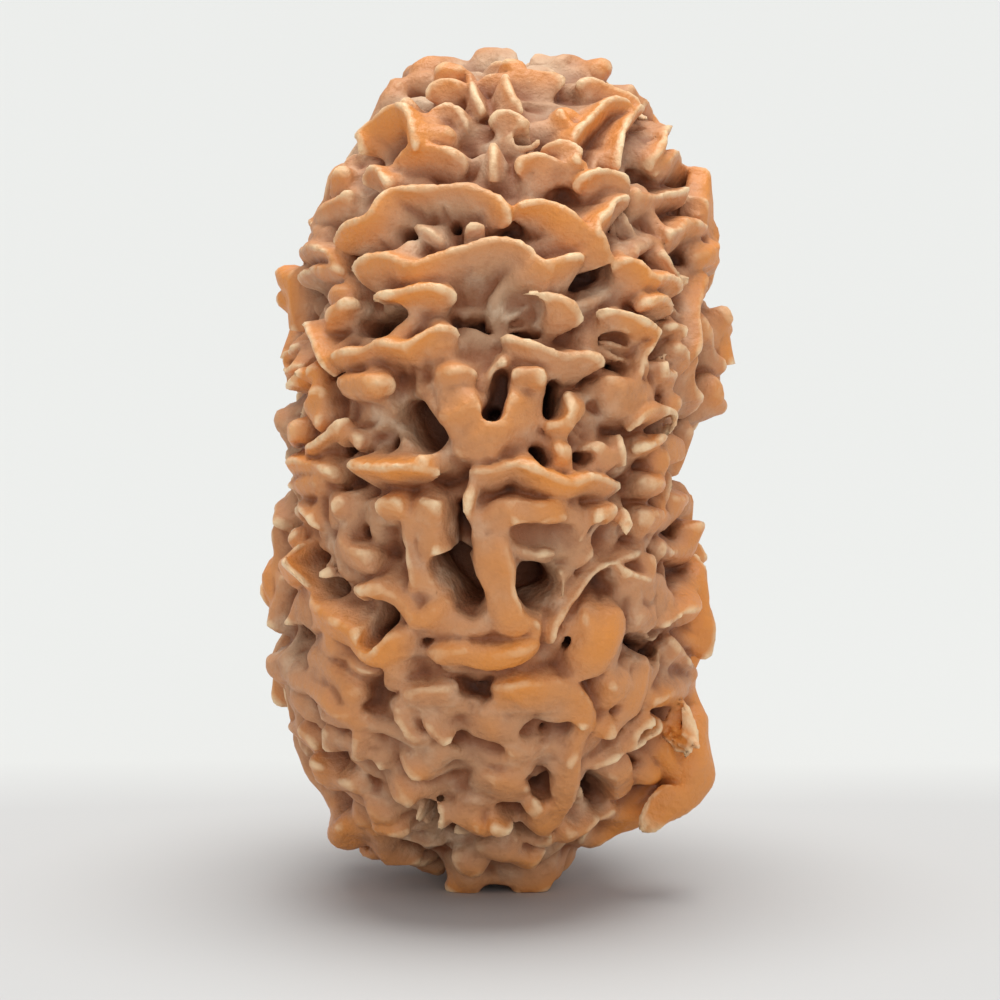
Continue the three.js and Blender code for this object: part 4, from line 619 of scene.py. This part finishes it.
del yShare, zShare, reach, shifted, away, waist, thick, out, level, slope
print("body field")

# How far, in mm, the blocks reach past what is worked out in them
room = {
    "mound": 1.2, "ridge": 1.8, "ridgeFoot": 0.8, "sheet": 1.7, "sheetFoot": 0.6, "blob": 1.0, "pit": 0.8,
    "hollow": 0.6, "crater": 0.6, "strand": 0.5,
}


def block(points, margin):
    # the part of the grid round some points
    low = np.floor((points.min(0) - margin - corner) / voxel).astype(int)
    high = np.ceil((points.max(0) + margin - corner) / voxel).astype(int) + 1
    return tuple(slice(max(low[k], 0), min(high[k], dims[k])) for k in range(3))


def offsets(where, point):
    return x[where] - point[0], y[where] - point[1], z[where] - point[2]


# Mounds lift the floor, level on top and falling off at their edges
mound = {"edge": 0.5, "reach": 1.3, "rise": 0.78, "unevenSize": 1.7, "unevenRise": 0.5}
raised = np.zeros(dims, np.float32)
for middleX, middleV, halfWidth, halfTall, tall in mounds:
    middle = seen(middleX, middleV, tall)
    where = block(middle[None], mound["reach"] * max(halfWidth, halfTall) + room["mound"])
    px, py, pz = offsets(where, middle)
    away = np.hypot(px / halfWidth, (py * viewUp[1] + pz * viewUp[2]) / halfTall)
    share = np.clip((1 + mound["edge"] / 2 - away) / mound["edge"], 0, 1)
    share = share * share * (3 - 2 * share) * (y[where] < 0)
    raised[where] = np.maximum(raised[where], (tall - body["floorLevel"]) * share)
shell -= raised * (mound["rise"] + mound["unevenRise"] * cloud(mound["unevenSize"]))

# Creases wrinkle the floors and mounds, and grit roughens everything
crease = {"size": 1.5, "width": 0.13, "depth": 0.26, "layers": 3, "grit": ((0.42, 0.085),)}
for layer in range(crease["layers"]):
    shell += crease["depth"] * np.maximum(0, 1 - np.abs(cloud(crease["size"])) / crease["width"])
grit = clouds(crease["grit"])


# How a ridge is made: its rounded top, its flanks that spread towards the floor, and its unevenness
section = {
    "thin": 0.19, "thick": 0.42, "slim": 0.04, "keen": 0.45, "plateFrom": 0.6, "plateOver": 0.9,
    "plateDrop": 0.3, "plateDome": -0.42, "dome": 0.22, "domeEdge": 0.1, "domeReach": 1.5,
    "faceFrom": 0.35, "faceOver": 1.2, "spread": (0.16, 0.13), "drop": 0.5, "join": 0.22, "blobJoin": 0.45,
    "settle": 0.45, "lowSettle": 0.25, "lowFrom": 15, "lowOver": 6,
    "wave": ((1.9, 0.22), (0.8, 0.12)), "waveLift": 0.05, "bulgeSize": 1.1, "bulge": (0.1, 0.18),
    "hiddenSpread": 0.13, "slant": ((3.5, 0.22),), "mottle": ((1.3, 0.16),),
}
wave = clouds(section["wave"]) + section["waveLift"]
bulge = cloud(section["bulgeSize"]) * (section["bulge"][0] + section["bulge"][1] * hidden)
flankSpread = section["hiddenSpread"] * hidden
slant = clouds(section["slant"])
mottle = clouds(section["mottle"])


def curtain(where, a, b, up, core, rounding, spread, drop, plate=0, facing=0):
    # distance to an uneven sheet that hangs from the line a to b, with a rounded top
    px, py, pz = offsets(where, a)
    run = b - a
    length = np.linalg.norm(run)
    run = run / length
    up = up - run * (up @ run)
    up = up / np.linalg.norm(up)
    side = np.cross(run, up)
    side = -side if side[2] > 0 else side
    along = px * run[0] + py * run[1] + pz * run[2]
    height = px * up[0] + py * up[1] + pz * up[2] + rounding + wave[where] + plate * mottle[where]
    depth = np.clip(-height, 0, drop)
    flare = (spread[0] + (flankSpread[where] if spread[0] > 0 else 0)) * depth + spread[1] * depth ** 2
    over = along - np.clip(along, min(core, length / 2), max(length - core, length / 2))
    across = px * side[0] + py * side[1] + pz * side[2] + slant[where] * depth
    below = across + section["faceFrom"] * (core + rounding)
    height = height + facing * np.clip(below, 0, section["faceOver"])
    across = np.abs(across)
    dome = section["dome"] + section["plateDome"] * plate
    domeShare = np.minimum(across / (core + rounding + section["domeEdge"]), section["domeReach"])
    height = height + dome * domeShare ** 2
    plan = np.hypot(np.maximum(across - bulge[where] - flare, 0), over)
    plan = np.maximum(plan - core, 0)
    tip = np.maximum(height, 0) + np.minimum(height + drop, 0)
    return np.sqrt(plan ** 2 + tip ** 2) - rounding


farOff = 6
ridgeField = np.full(dims, farOff, np.float32)
for ridge in ridges:
    points, tall, wide = ridge["points"], ridge["tall"], ridge["wide"]
    feet = [p - outward(p) * (tall + room["ridgeFoot"]) for p in points]
    where = block(np.concatenate((points, feet)), room["ridge"])
    own = np.full([s.stop - s.start for s in where], farOff, np.float32)
    plate = min(max((wide - section["plateFrom"]) / section["plateOver"], 0), 1)
    rounding = section["thin"] + (section["thick"] - section["thin"]) * plate
    rounding = rounding * (1 - section["keen"] * ridge["facing"])
    core = max(0.5 * wide - rounding - section["slim"], 0)
    points = np.array([p - outward(p) * section["plateDrop"] * plate for p in points])
    for a, b in zip(points, points[1:]):
        up = outward((a + b) / 2)
        ends = np.array((a, b))
        near = block(np.concatenate((ends, ends - up * (tall + room["sheetFoot"]))), room["sheet"])
        near = tuple(slice(max(n.start, w.start), min(n.stop, w.stop)) for n, w in zip(near, where))
        inner = tuple(slice(n.start - w.start, n.stop - w.start) for n, w in zip(near, where))
        piece = curtain(near, a, b, up, core, rounding, section["spread"], tall + section["drop"], plate,
                        ridge["facing"])
        own[inner] = np.minimum(own[inner], piece)
    ridgeField[where] = meld(ridgeField[where], own, section["join"])
for blobX, blobV, rise, halfWidth, halfTall, halfDeep, turned in blobs:
    middle = seen(blobX, blobV, rise)
    where = block(middle[None], max(halfWidth, halfTall, halfDeep) + room["blob"])
    px, py, pz = offsets(where, middle)
    upward = py * viewUp[1] + pz * viewUp[2]
    inward = py * viewIn[1] + pz * viewIn[2]
    turned = math.radians(turned)
    across = (px * math.cos(turned) + upward * math.sin(turned)) / halfWidth
    along = (upward * math.cos(turned) - px * math.sin(turned)) / halfTall
    reach = np.sqrt(across ** 2 + along ** 2 + (inward / halfDeep) ** 2)
    blob = (reach - 1) * min(halfWidth, halfTall, halfDeep) + bulge[where] + mottle[where]
    ridgeField[where] = meld(ridgeField[where], blob, section["blobJoin"])
print("ridge field")

# Pits and grooves go into the floors. Lips are how far, in mm, the floor's rim is rounded, how much more
# is left of the ridges over it, and how far their rim is rounded.
mouthRise, grooveStep, ledgeGap = 1.0, 0.5, 0.35
pit = {"wider": 1.15, "over": 0.4, "bottom": 0.75, "flare": 0.25, "lips": (0.2, 0.08, 0.15)}
hollow = {"rise": mouthRise, "over": 1, "core": 0.0, "lips": (0.3, 0.05, 0.25), "roomOver": 1}
slit = {"radius": 0.13, "drop": 1.3, "rise": 0.2, "over": 0.5, "core": 0.0, "lips": (0.12,), "roomOver": 0,
        "roomUnder": 0.9, "margin": 0.6}
underLedge = {"radius": 0.22, "drop": 0.8, "rise": 0.3, "over": 0.3, "core": 0.05, "lips": (0.3,),
              "roomOver": 0, "roomUnder": 0.9, "margin": 0.8}


def dig(where, hole, lip, ridgeKeep=0.0, ridgeLip=0.0):
    shell[where] = -meld(-shell[where], hole, lip)
    if ridgeLip > 0:
        ridgeField[where] = -meld(-ridgeField[where], hole + ridgeKeep, ridgeLip)


def carve(line, radius, drop, rise, over, core, lips, roomOver, roomUnder, margin):
    # a groove along points of x and v, which hangs down by drop from over above them
    points = curvePoints([seen(line[i], line[i + 1], rise) for i in range(0, len(line), 2)], grooveStep)
    for a, b in zip(points, points[1:]):
        up = outward((a + b) / 2)
        where = block(np.array((a + up * roomOver, b + up * roomOver, a - up * roomUnder)), margin)
        dig(where, curtain(where, a + up * over, b + up * over, up, core, radius, (0.0, 0.0), drop), *lips)


frontPits = [(seen(pitX, pitV, mouthRise), pit["wider"] * radius, deep) for pitX, pitV, radius, deep in pits]
for mouth, radius, deep in frontPits + hiddenPits:
    up = outward(mouth)
    top = mouth + up * pit["over"]
    bottom = mouth - up * (mouthRise + deep)
    where = block(np.array((top, bottom)), radius + room["pit"])
    px, py, pz = offsets(where, bottom)
    length = np.linalg.norm(top - bottom)
    way = (top - bottom) / length
    along = np.clip(px * way[0] + py * way[1] + pz * way[2], 0, length)
    hole = np.sqrt((px - way[0] * along) ** 2 + (py - way[1] * along) ** 2 + (pz - way[2] * along) ** 2)
    dig(where, hole - radius * (pit["bottom"] + pit["flare"] * along / length), *pit["lips"])
for radius, deep, *line in hollows:
    below = mouthRise + deep
    carve(line, radius, hollow["over"] + below, roomUnder=below, margin=radius + room["hollow"], **hollow)
for line in slits:
    carve(line, **slit)
for wide, tall, *line in ledges:
    # the floor sinks along the lower side of each ledge
    carve([value - wide - ledgeGap if i % 2 else value for i, value in enumerate(line)], **underLedge)

# Craters are bowls that dried strands cross: x, v and radius
craters = [
    [6.3, 18.2, 0.8], [5.0, 21.3, 0.7], [5.5, 26.6, 0.9], [6.0, 29.9, 0.7], [7.9, 6.2, 0.7],
    [1.8, 4.2, 0.8], [-6.1, 5.2, 0.8], [-7.6, 13.4, 0.9], [1.3, 23.0, 0.9], [3.3, 17.9, 0.7],
    [3.3, 10.1, 0.8], [4.6, 13.6, 0.9],
]
crater = {"rise": 0.75, "bowl": 0.85, "lips": (0.25, 0.0, 0.25)}
strand = {
    "each": 6, "thick": 0.085, "rise": (-0.2, 0.55), "fan": 0.6, "aside": 0.8, "gather": 0.3, "sag": 0.5,
    "step": 0.4, "drop": 0.1, "join": 0.06,
}
for craterX, craterV, radius in craters:
    middle = seen(craterX, craterV, crater["rise"])
    where = block(middle[None], radius + room["crater"])
    px, py, pz = offsets(where, middle)
    dig(where, np.sqrt(px ** 2 + py ** 2 + pz ** 2) - crater["bowl"] * radius, *crater["lips"])
    # The strands' way across. From here on it is also the lean of the body in seen, which sets how deep
    # the strands and the later bowls lie.
    lean = between(0, math.pi)
    for n in range(strand["each"]):
        turned = lean + eitherWay(strand["fan"])
        aside = eitherWay(strand["aside"]) * radius
        rise = between(*strand["rise"])
        ends = []
        for k in (-1, 0, 1):
            gather = 1 - strand["gather"] * abs(k)
            ends.append(seen(craterX + k * radius * math.cos(turned) - aside * math.sin(turned) * gather,
                             craterV + k * radius * math.sin(turned) + aside * math.cos(turned) * gather,
                             rise * (1 - strand["sag"] * abs(k))))
        points = curvePoints(ends, strand["step"])
        for a, b in zip(points, points[1:]):
            where = block(np.array((a, b)), room["strand"])
            piece = curtain(where, a, b, outward(a), 0.0, strand["thick"], (0.0, 0.0), strand["drop"])
            ridgeField[where] = meld(ridgeField[where], piece, strand["join"])

lowShare = np.clip((section["lowFrom"] - zs) / section["lowOver"], 0, 1)
seedField = meld(shell, ridgeField, section["settle"] + section["lowSettle"] * lowShare)
seedField = np.maximum(seedField + grit, -zs)  # the ground cuts the lowest crests flat
print("seed field")


def netted(field):
    # surface nets: a point in each cell that the surface crosses, a face round each crossed edge
    inside = field < 0
    cells = [slice(0, -1), slice(1, None)]
    unit = np.eye(3, dtype=int)
    total = sum(inside[i, j, k].astype(np.int8) for i in cells for j in cells for k in cells)
    crossed = np.argwhere((total > 0) & (total < 8))
    number = np.full(total.shape, -1, np.int32)
    number[tuple(crossed.T)] = np.arange(len(crossed))
    spot = np.zeros((len(crossed), 3))
    count = np.zeros(len(crossed))
    for a in np.ndindex(2, 2, 2):
        for axis in range(3):
            if a[axis]:
                continue
            fa = field[tuple((crossed + a).T)]
            fb = field[tuple((crossed + a + unit[axis]).T)]
            hit = (fa < 0) != (fb < 0)
            t = np.where(hit, fa / np.where(hit, fa - fb, 1), 0)
            spot += hit[:, None] * (a + t[:, None] * unit[axis])
            count += hit
    spot = corner + voxel * (crossed + spot / count[:, None])
    faces = []
    for axis in range(3):
        one, two = (axis + 1) % 3, (axis + 2) % 3
        low = [slice(1, -1)] * 3
        high = [slice(1, -1)] * 3
        low[axis], high[axis] = slice(0, -1), slice(1, None)
        starts = inside[tuple(low)]
        at = np.argwhere(starts != inside[tuple(high)])
        outer = ~starts[tuple(at.T)]
        at += unit[one] + unit[two]
        ring = np.stack([number[tuple((at - i * unit[one] - j * unit[two]).T)]
                         for i, j in ((0, 0), (1, 0), (1, 1), (0, 1))], 1)
        ring[outer] = ring[outer][:, ::-1]
        faces.append(ring)
    return spot, np.concatenate(faces)


spots, faces = netted(seedField)
print("net", len(spots), "points", len(faces), "faces")


def added(name, content):
    piece = bpy.data.objects.new(name, content)
    bpy.context.scene.collection.objects.link(piece)
    return piece


def meshFrom(name, points, quads):
    mesh = bpy.data.meshes.new(name)
    mesh.vertices.add(len(points))
    mesh.vertices.foreach_set("co", points.astype(np.float32).ravel())
    mesh.loops.add(quads.size)
    mesh.loops.foreach_set("vertex_index", quads.astype(np.int32).ravel())
    mesh.polygons.add(len(quads))
    mesh.polygons.foreach_set("loop_start", np.arange(0, quads.size, 4, dtype=np.int32))
    mesh.update(calc_edges=True)
    mesh.validate()
    return added(name, mesh)


def joined(points, quads):
    # keeps the one surface that most points belong to, without closed hollows inside
    label = np.arange(len(points))
    sides = np.concatenate([quads[:, [k, (k + 1) % 4]] for k in range(4)])
    last = None
    while last is None or (label != last).any():
        last, label = label, label.copy()
        least = last[sides].min(1)
        for k in (0, 1):
            np.minimum.at(label, sides[:, k], least)
        label = label[label]
    kept = label == np.bincount(label).argmax()
    number = np.cumsum(kept) - 1
    return points[kept], number[quads[kept[quads[:, 0]]]]


spots, faces = joined(spots, faces)
print("one surface of", len(spots), "points")
shellPiece = meshFrom("rudraksha_shell", spots, faces)
bpy.context.view_layer.objects.active = shellPiece
shellPiece.select_set(True)
smooth = shellPiece.modifiers.new("settle", "SMOOTH")
smooth.factor = grain["smooth"]
smooth.iterations = 1
bpy.ops.object.modifier_apply(modifier=smooth.name)
thin = shellPiece.modifiers.new("thin", "DECIMATE")
thin.ratio = min(1, grain["triangles"] / (2 * len(faces)))
bpy.ops.object.modifier_apply(modifier=thin.name)
shellPiece.data.validate()
print("thinned to", len(shellPiece.data.polygons), "faces")


def sampled(field, points):
    # values of a grid field at points, by linear steps
    place = np.clip((points - corner) / voxel, 0, np.array(dims) - 1.001)
    cell = place.astype(int)
    t = place - cell
    value = 0
    for far in np.ndindex(2, 2, 2):
        share = np.prod(np.where(far, t, 1 - t), 1)
        value = value + share * field[tuple((cell + far).T)]
    return value


def blurred(field, reachMm):
    # two running means along each axis
    steps = max(1, int(round(reachMm / voxel)))
    for k in range(3):
        for again in range(2):
            edges = [(steps + 1, steps) if n == k else (0, 0) for n in range(3)]
            total = np.cumsum(np.pad(field, edges, "edge"), axis=k, dtype=np.float32)
            high = [slice(None)] * 3
            low = [slice(None)] * 3
            high[k], low[k] = slice(2 * steps + 1, None), slice(0, -2 * steps - 1)
            field = (total[tuple(high)] - total[tuple(low)]) / (2 * steps + 1)
    return field


mesh = shellPiece.data
points = np.zeros(len(mesh.vertices) * 3, np.float32)
mesh.vertices.foreach_get("co", points)
points = points.reshape(-1, 3).astype(float)
solid = np.clip(0.5 - seedField / voxel, 0, 1).astype(np.float32)
reading = {"liftOver": 1.8, "foldReach": 0.7, "crackReach": 0.25}


def shellRound(reachMm):
    # from -1 where the neighbourhood of a point is open to 1 where it is all shell
    return np.clip((sampled(blurred(solid, reachMm), points) - 0.5) * 2, -1, 1)


# crack and fold measure how shut in each point is: the finish paints shade into crevices and hollows with
# them, and edge carries a painted highlight on rims
crack = shellRound(reading["crackReach"])
paint = {
    "lift": np.clip(sampled(floorField, points) / reading["liftOver"], 0, 1),
    "fold": shellRound(reading["foldReach"]), "crack": crack, "edge": -crack,
}
for name, values in paint.items():
    layer = mesh.attributes.new(name, "FLOAT", "POINT")
    layer.data.foreach_set("value", values.astype(np.float32))
    print(name, values.min().round(2), values.mean().round(2), values.max().round(2))

# Into metres, over the frame's own spot, and never past its box
points = (points + np.array(body["centring"])) / 1000
low, high = (np.array(cornerOfBox) for cornerOfBox in cadBox)
print("over the box by mm", (low - points.min(0)) * 1000, (points.max(0) - high) * 1000)
points = np.clip(points, low, high)
mesh.vertices.foreach_set("co", points.astype(np.float32).ravel())
mesh.polygons.foreach_set("use_smooth", np.ones(len(mesh.polygons), bool))
mesh.update()
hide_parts("seed")
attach(shellPiece, "root")

# Finish of the shell
finish = {
    "crest": (0.78, 0.285, 0.055), "flank": (0.62, 0.285, 0.125), "valley": (0.47, 0.275, 0.155),
    # cream: partly wear, partly a painted highlight on lit rims
    "wear_and_painted_highlight": (1.0, 0.74, 0.44), "shade": (0.26, 0.075, 0.02), "deep": (0.045, 0.012, 0.005),
    "dust": (0.82, 0.64, 0.45),
    "noise": {"patch": (260,), "blotch": (900, 5), "speck": (1800, 6), "fibre": (4200, 3),
              "stain_and_painted_shade": (700, 6, 0.65)},
    "patchy": 0.9, "lowPale": 0.12, "lowHeights": (0.013, 0.004),
    # Coats over the valley colour: colour, strength, then fields and the values between which they fade in
    "coats": [
        ("flank", 1.0, ("tone", 0.1, 0.5)),
        ("crest", 1.0, ("tone", 0.5, 0.95)),
        ("dust", 0.6, ("blotch", 0.5, 0.66), ("lift", 0.75, 0.1)),
        ("dust", 0.6, ("tall", 0.0225, 0.028), ("lift", 0.65, 0.15), ("patch", 0.38, 0.6)),
        # dark brown patches in the low floors, in the shade colour: partly stains, partly painted shade in
        # the floors
        ("shade", 0.45, ("stain_and_painted_shade", 0.52, 0.7), ("lift", 1.0, 0.4)),
        # cream on convex edges of the higher ground: partly wear, partly a painted highlight where the light
        # from above catches the rims
        ("wear_and_painted_highlight", 0.85, ("edge", 0.27, 0.5), ("lift", 0.15, 0.6), ("speck", 0.2, 0.55)),
        # painted shade: crevices (crack) and hollows (fold) are darkened with the shade and deep colours,
        # where shade falls in them
        ("shade", 0.75, ("crack", 0.06, 0.42)),
        ("shade", 0.85, ("fold", -0.05, 0.42)),
        ("deep", 0.9, ("fold", 0.32, 0.68)),
    ],
    "roughLift": (0.1, 0.9), "rough": (0.72, 0.42), "specular": 0.45,
    "speckRelief": 0.6, "fibreRelief": 0.3, "bump": 0.5, "bumpHeight": 0.0003,
}


class Nodes:
    # short way to write a material's nodes
    def __init__(self, material):
        material.use_nodes = True
        self.tree = material.node_tree
        self.shader = self.tree.nodes["Principled BSDF"]

    def add(self, kind, inputs, output=0, **settings):
        node = self.tree.nodes.new(kind)
        for key, value in settings.items():
            setattr(node, key, value)
        for key, value in inputs.items():
            self.put(value, node.inputs[key])
        return node.outputs[output]

    def put(self, value, socket):
        if isinstance(value, bpy.types.NodeSocket):
            self.tree.links.new(value, socket)
        else:
            socket.default_value = value

    def spot(self):
        return self.add("ShaderNodeTexCoord", {}, "Object")

    def along(self, axis):
        return self.add("ShaderNodeSeparateXYZ", {"Vector": self.spot()}, axis)

    def noise(self, scale, detail=4.0, roughness=0.55):
        values = {"Vector": self.spot(), "Scale": scale, "Detail": detail, "Roughness": roughness}
        return self.add("ShaderNodeTexNoise", values, "Fac")

    def ramp(self, value, low, high, start=0.0, end=1.0):
        values = {"Value": value, "From Min": low, "From Max": high, "To Min": start, "To Max": end}
        return self.add("ShaderNodeMapRange", values)

    def mix(self, share, a, b):
        node = self.tree.nodes.new("ShaderNodeMix")
        node.data_type = "RGBA"
        self.put(share, node.inputs[0])
        self.put((*a, 1) if isinstance(a, tuple) else a, node.inputs[6])
        self.put((*b, 1) if isinstance(b, tuple) else b, node.inputs[7])
        return node.outputs[2]

    def math(self, operation, a, b=0.0):
        return self.add("ShaderNodeMath", {0: a, 1: b}, operation=operation)


def shellMaterial():
    material = bpy.data.materials.new("seed_shell")
    n = Nodes(material)
    fields = {name: n.add("ShaderNodeAttribute", {}, "Fac", attribute_name=name) for name in paint}
    fields.update((name, n.noise(*values)) for name, values in finish["noise"].items())
    fields["tall"] = n.along("Z")
    patchy = n.math("MULTIPLY", n.math("SUBTRACT", fields["patch"], 0.5), finish["patchy"])
    pale = n.math("MULTIPLY", n.ramp(fields["tall"], *finish["lowHeights"]), finish["lowPale"])
    fields["tone"] = n.math("SUBTRACT", n.math("ADD", fields["lift"], patchy), pale)
    colour = finish["valley"]
    for name, share, *follows in finish["coats"]:
        for field, start, end in follows:
            share = n.math("MULTIPLY", n.ramp(fields[field], start, end), share)
        colour = n.mix(share, colour, finish[name])
    n.put(colour, n.shader.inputs["Base Color"])
    n.put(n.ramp(fields["lift"], *finish["roughLift"], *finish["rough"]), n.shader.inputs["Roughness"])
    n.shader.inputs["Specular IOR Level"].default_value = finish["specular"]
    relief = n.math("ADD", fields["blotch"], n.math("MULTIPLY", fields["speck"], finish["speckRelief"]))
    relief = n.math("ADD", relief, n.math("MULTIPLY", fields["fibre"], finish["fibreRelief"]))
    values = {"Height": relief, "Strength": finish["bump"], "Distance": finish["bumpHeight"]}
    n.put(n.add("ShaderNodeBump", values, "Normal"), n.shader.inputs["Normal"])
    return material


shellPiece.data.materials.append(shellMaterial())

# Pale floor, soft light from above, and the photograph's camera
studio = {
    "floorNear": (0.555, 0.557, 0.55), "floorFar": (0.64, 0.65, 0.635), "fadeFrom": 0.018, "fadeTo": 0.03,
    "fadeNoise": (25, 2), "fadeWaver": 0.012, "floorRough": 0.65, "floorRadius": 10.0,
    "sunTilt": -6, "sunTurn": -12, "sunWidth": 50, "sunPower": 2.6, "sunColour": (1.0, 0.98, 0.95),
    "fillPlace": (0.05, -0.32, 0.08), "fillTurn": (78, 0, 9), "fillSize": 0.2, "fillWatts": 0.2,
    "fillColour": (0.95, 0.97, 1.0), "sky": (0.86, 0.885, 0.92), "skyPower": 0.6,
    "lens": 180, "sensor": 36, "clip": (0.01, 50),
}


def floorMaterial():
    material = bpy.data.materials.new("pale_floor")
    n = Nodes(material)
    # painted shade: the floor is painted darker up to fadeFrom behind the seed than beyond fadeTo
    waver = n.math("MULTIPLY", n.math("SUBTRACT", n.noise(*studio["fadeNoise"]), 0.5), studio["fadeWaver"])
    far = n.ramp(n.math("ADD", n.along("Y"), waver), studio["fadeFrom"], studio["fadeTo"])
    n.put(n.mix(far, studio["floorNear"], studio["floorFar"]), n.shader.inputs["Base Color"])
    n.shader.inputs["Roughness"].default_value = studio["floorRough"]
    return material


def makeFloor():
    mesh = bpy.data.meshes.new("floor")
    turns = [math.radians(a) for a in range(0, 360, 5)]
    ring = [(studio["floorRadius"] * math.cos(a), studio["floorRadius"] * math.sin(a), 0) for a in turns]
    mesh.from_pydata(ring, [], [tuple(range(len(ring)))])
    mesh.materials.append(floorMaterial())
    return added("floor", mesh)


makeFloor()


def lampAt(kind, name, place, turns, power, colour):
    lamp = bpy.data.lights.new(name, kind)
    lamp.energy = power
    lamp.color = colour
    holder = added(name, lamp)
    holder.location = place
    holder.rotation_euler = [math.radians(turn) for turn in turns]
    return lamp


sun = lampAt("SUN", "top_light", (0, 0, 0.3), (studio["sunTilt"], 0, studio["sunTurn"]), studio["sunPower"],
             studio["sunColour"])
sun.angle = math.radians(studio["sunWidth"])
fill = lampAt("AREA", "front_fill", studio["fillPlace"], studio["fillTurn"], studio["fillWatts"],
              studio["fillColour"])
fill.size = studio["fillSize"]
world = bpy.data.worlds.new("studio")
world.use_nodes = True
world.node_tree.nodes["Background"].inputs["Color"].default_value = (*studio["sky"], 1)
world.node_tree.nodes["Background"].inputs["Strength"].default_value = studio["skyPower"]
bpy.context.scene.world = world

lens = bpy.data.cameras.new("camera")
lens.lens = studio["lens"]
lens.sensor_width = studio["sensor"]
lens.clip_start, lens.clip_end = studio["clip"]
camera = added("camera", lens)
camera.location = Vector((eye + np.array(body["centring"])) / 1000)
camera.rotation_euler = Vector(viewIn).to_track_quat("-Z", "Y").to_euler()
bpy.context.scene.camera = camera
bpy.context.scene.view_settings.view_transform = "Standard"
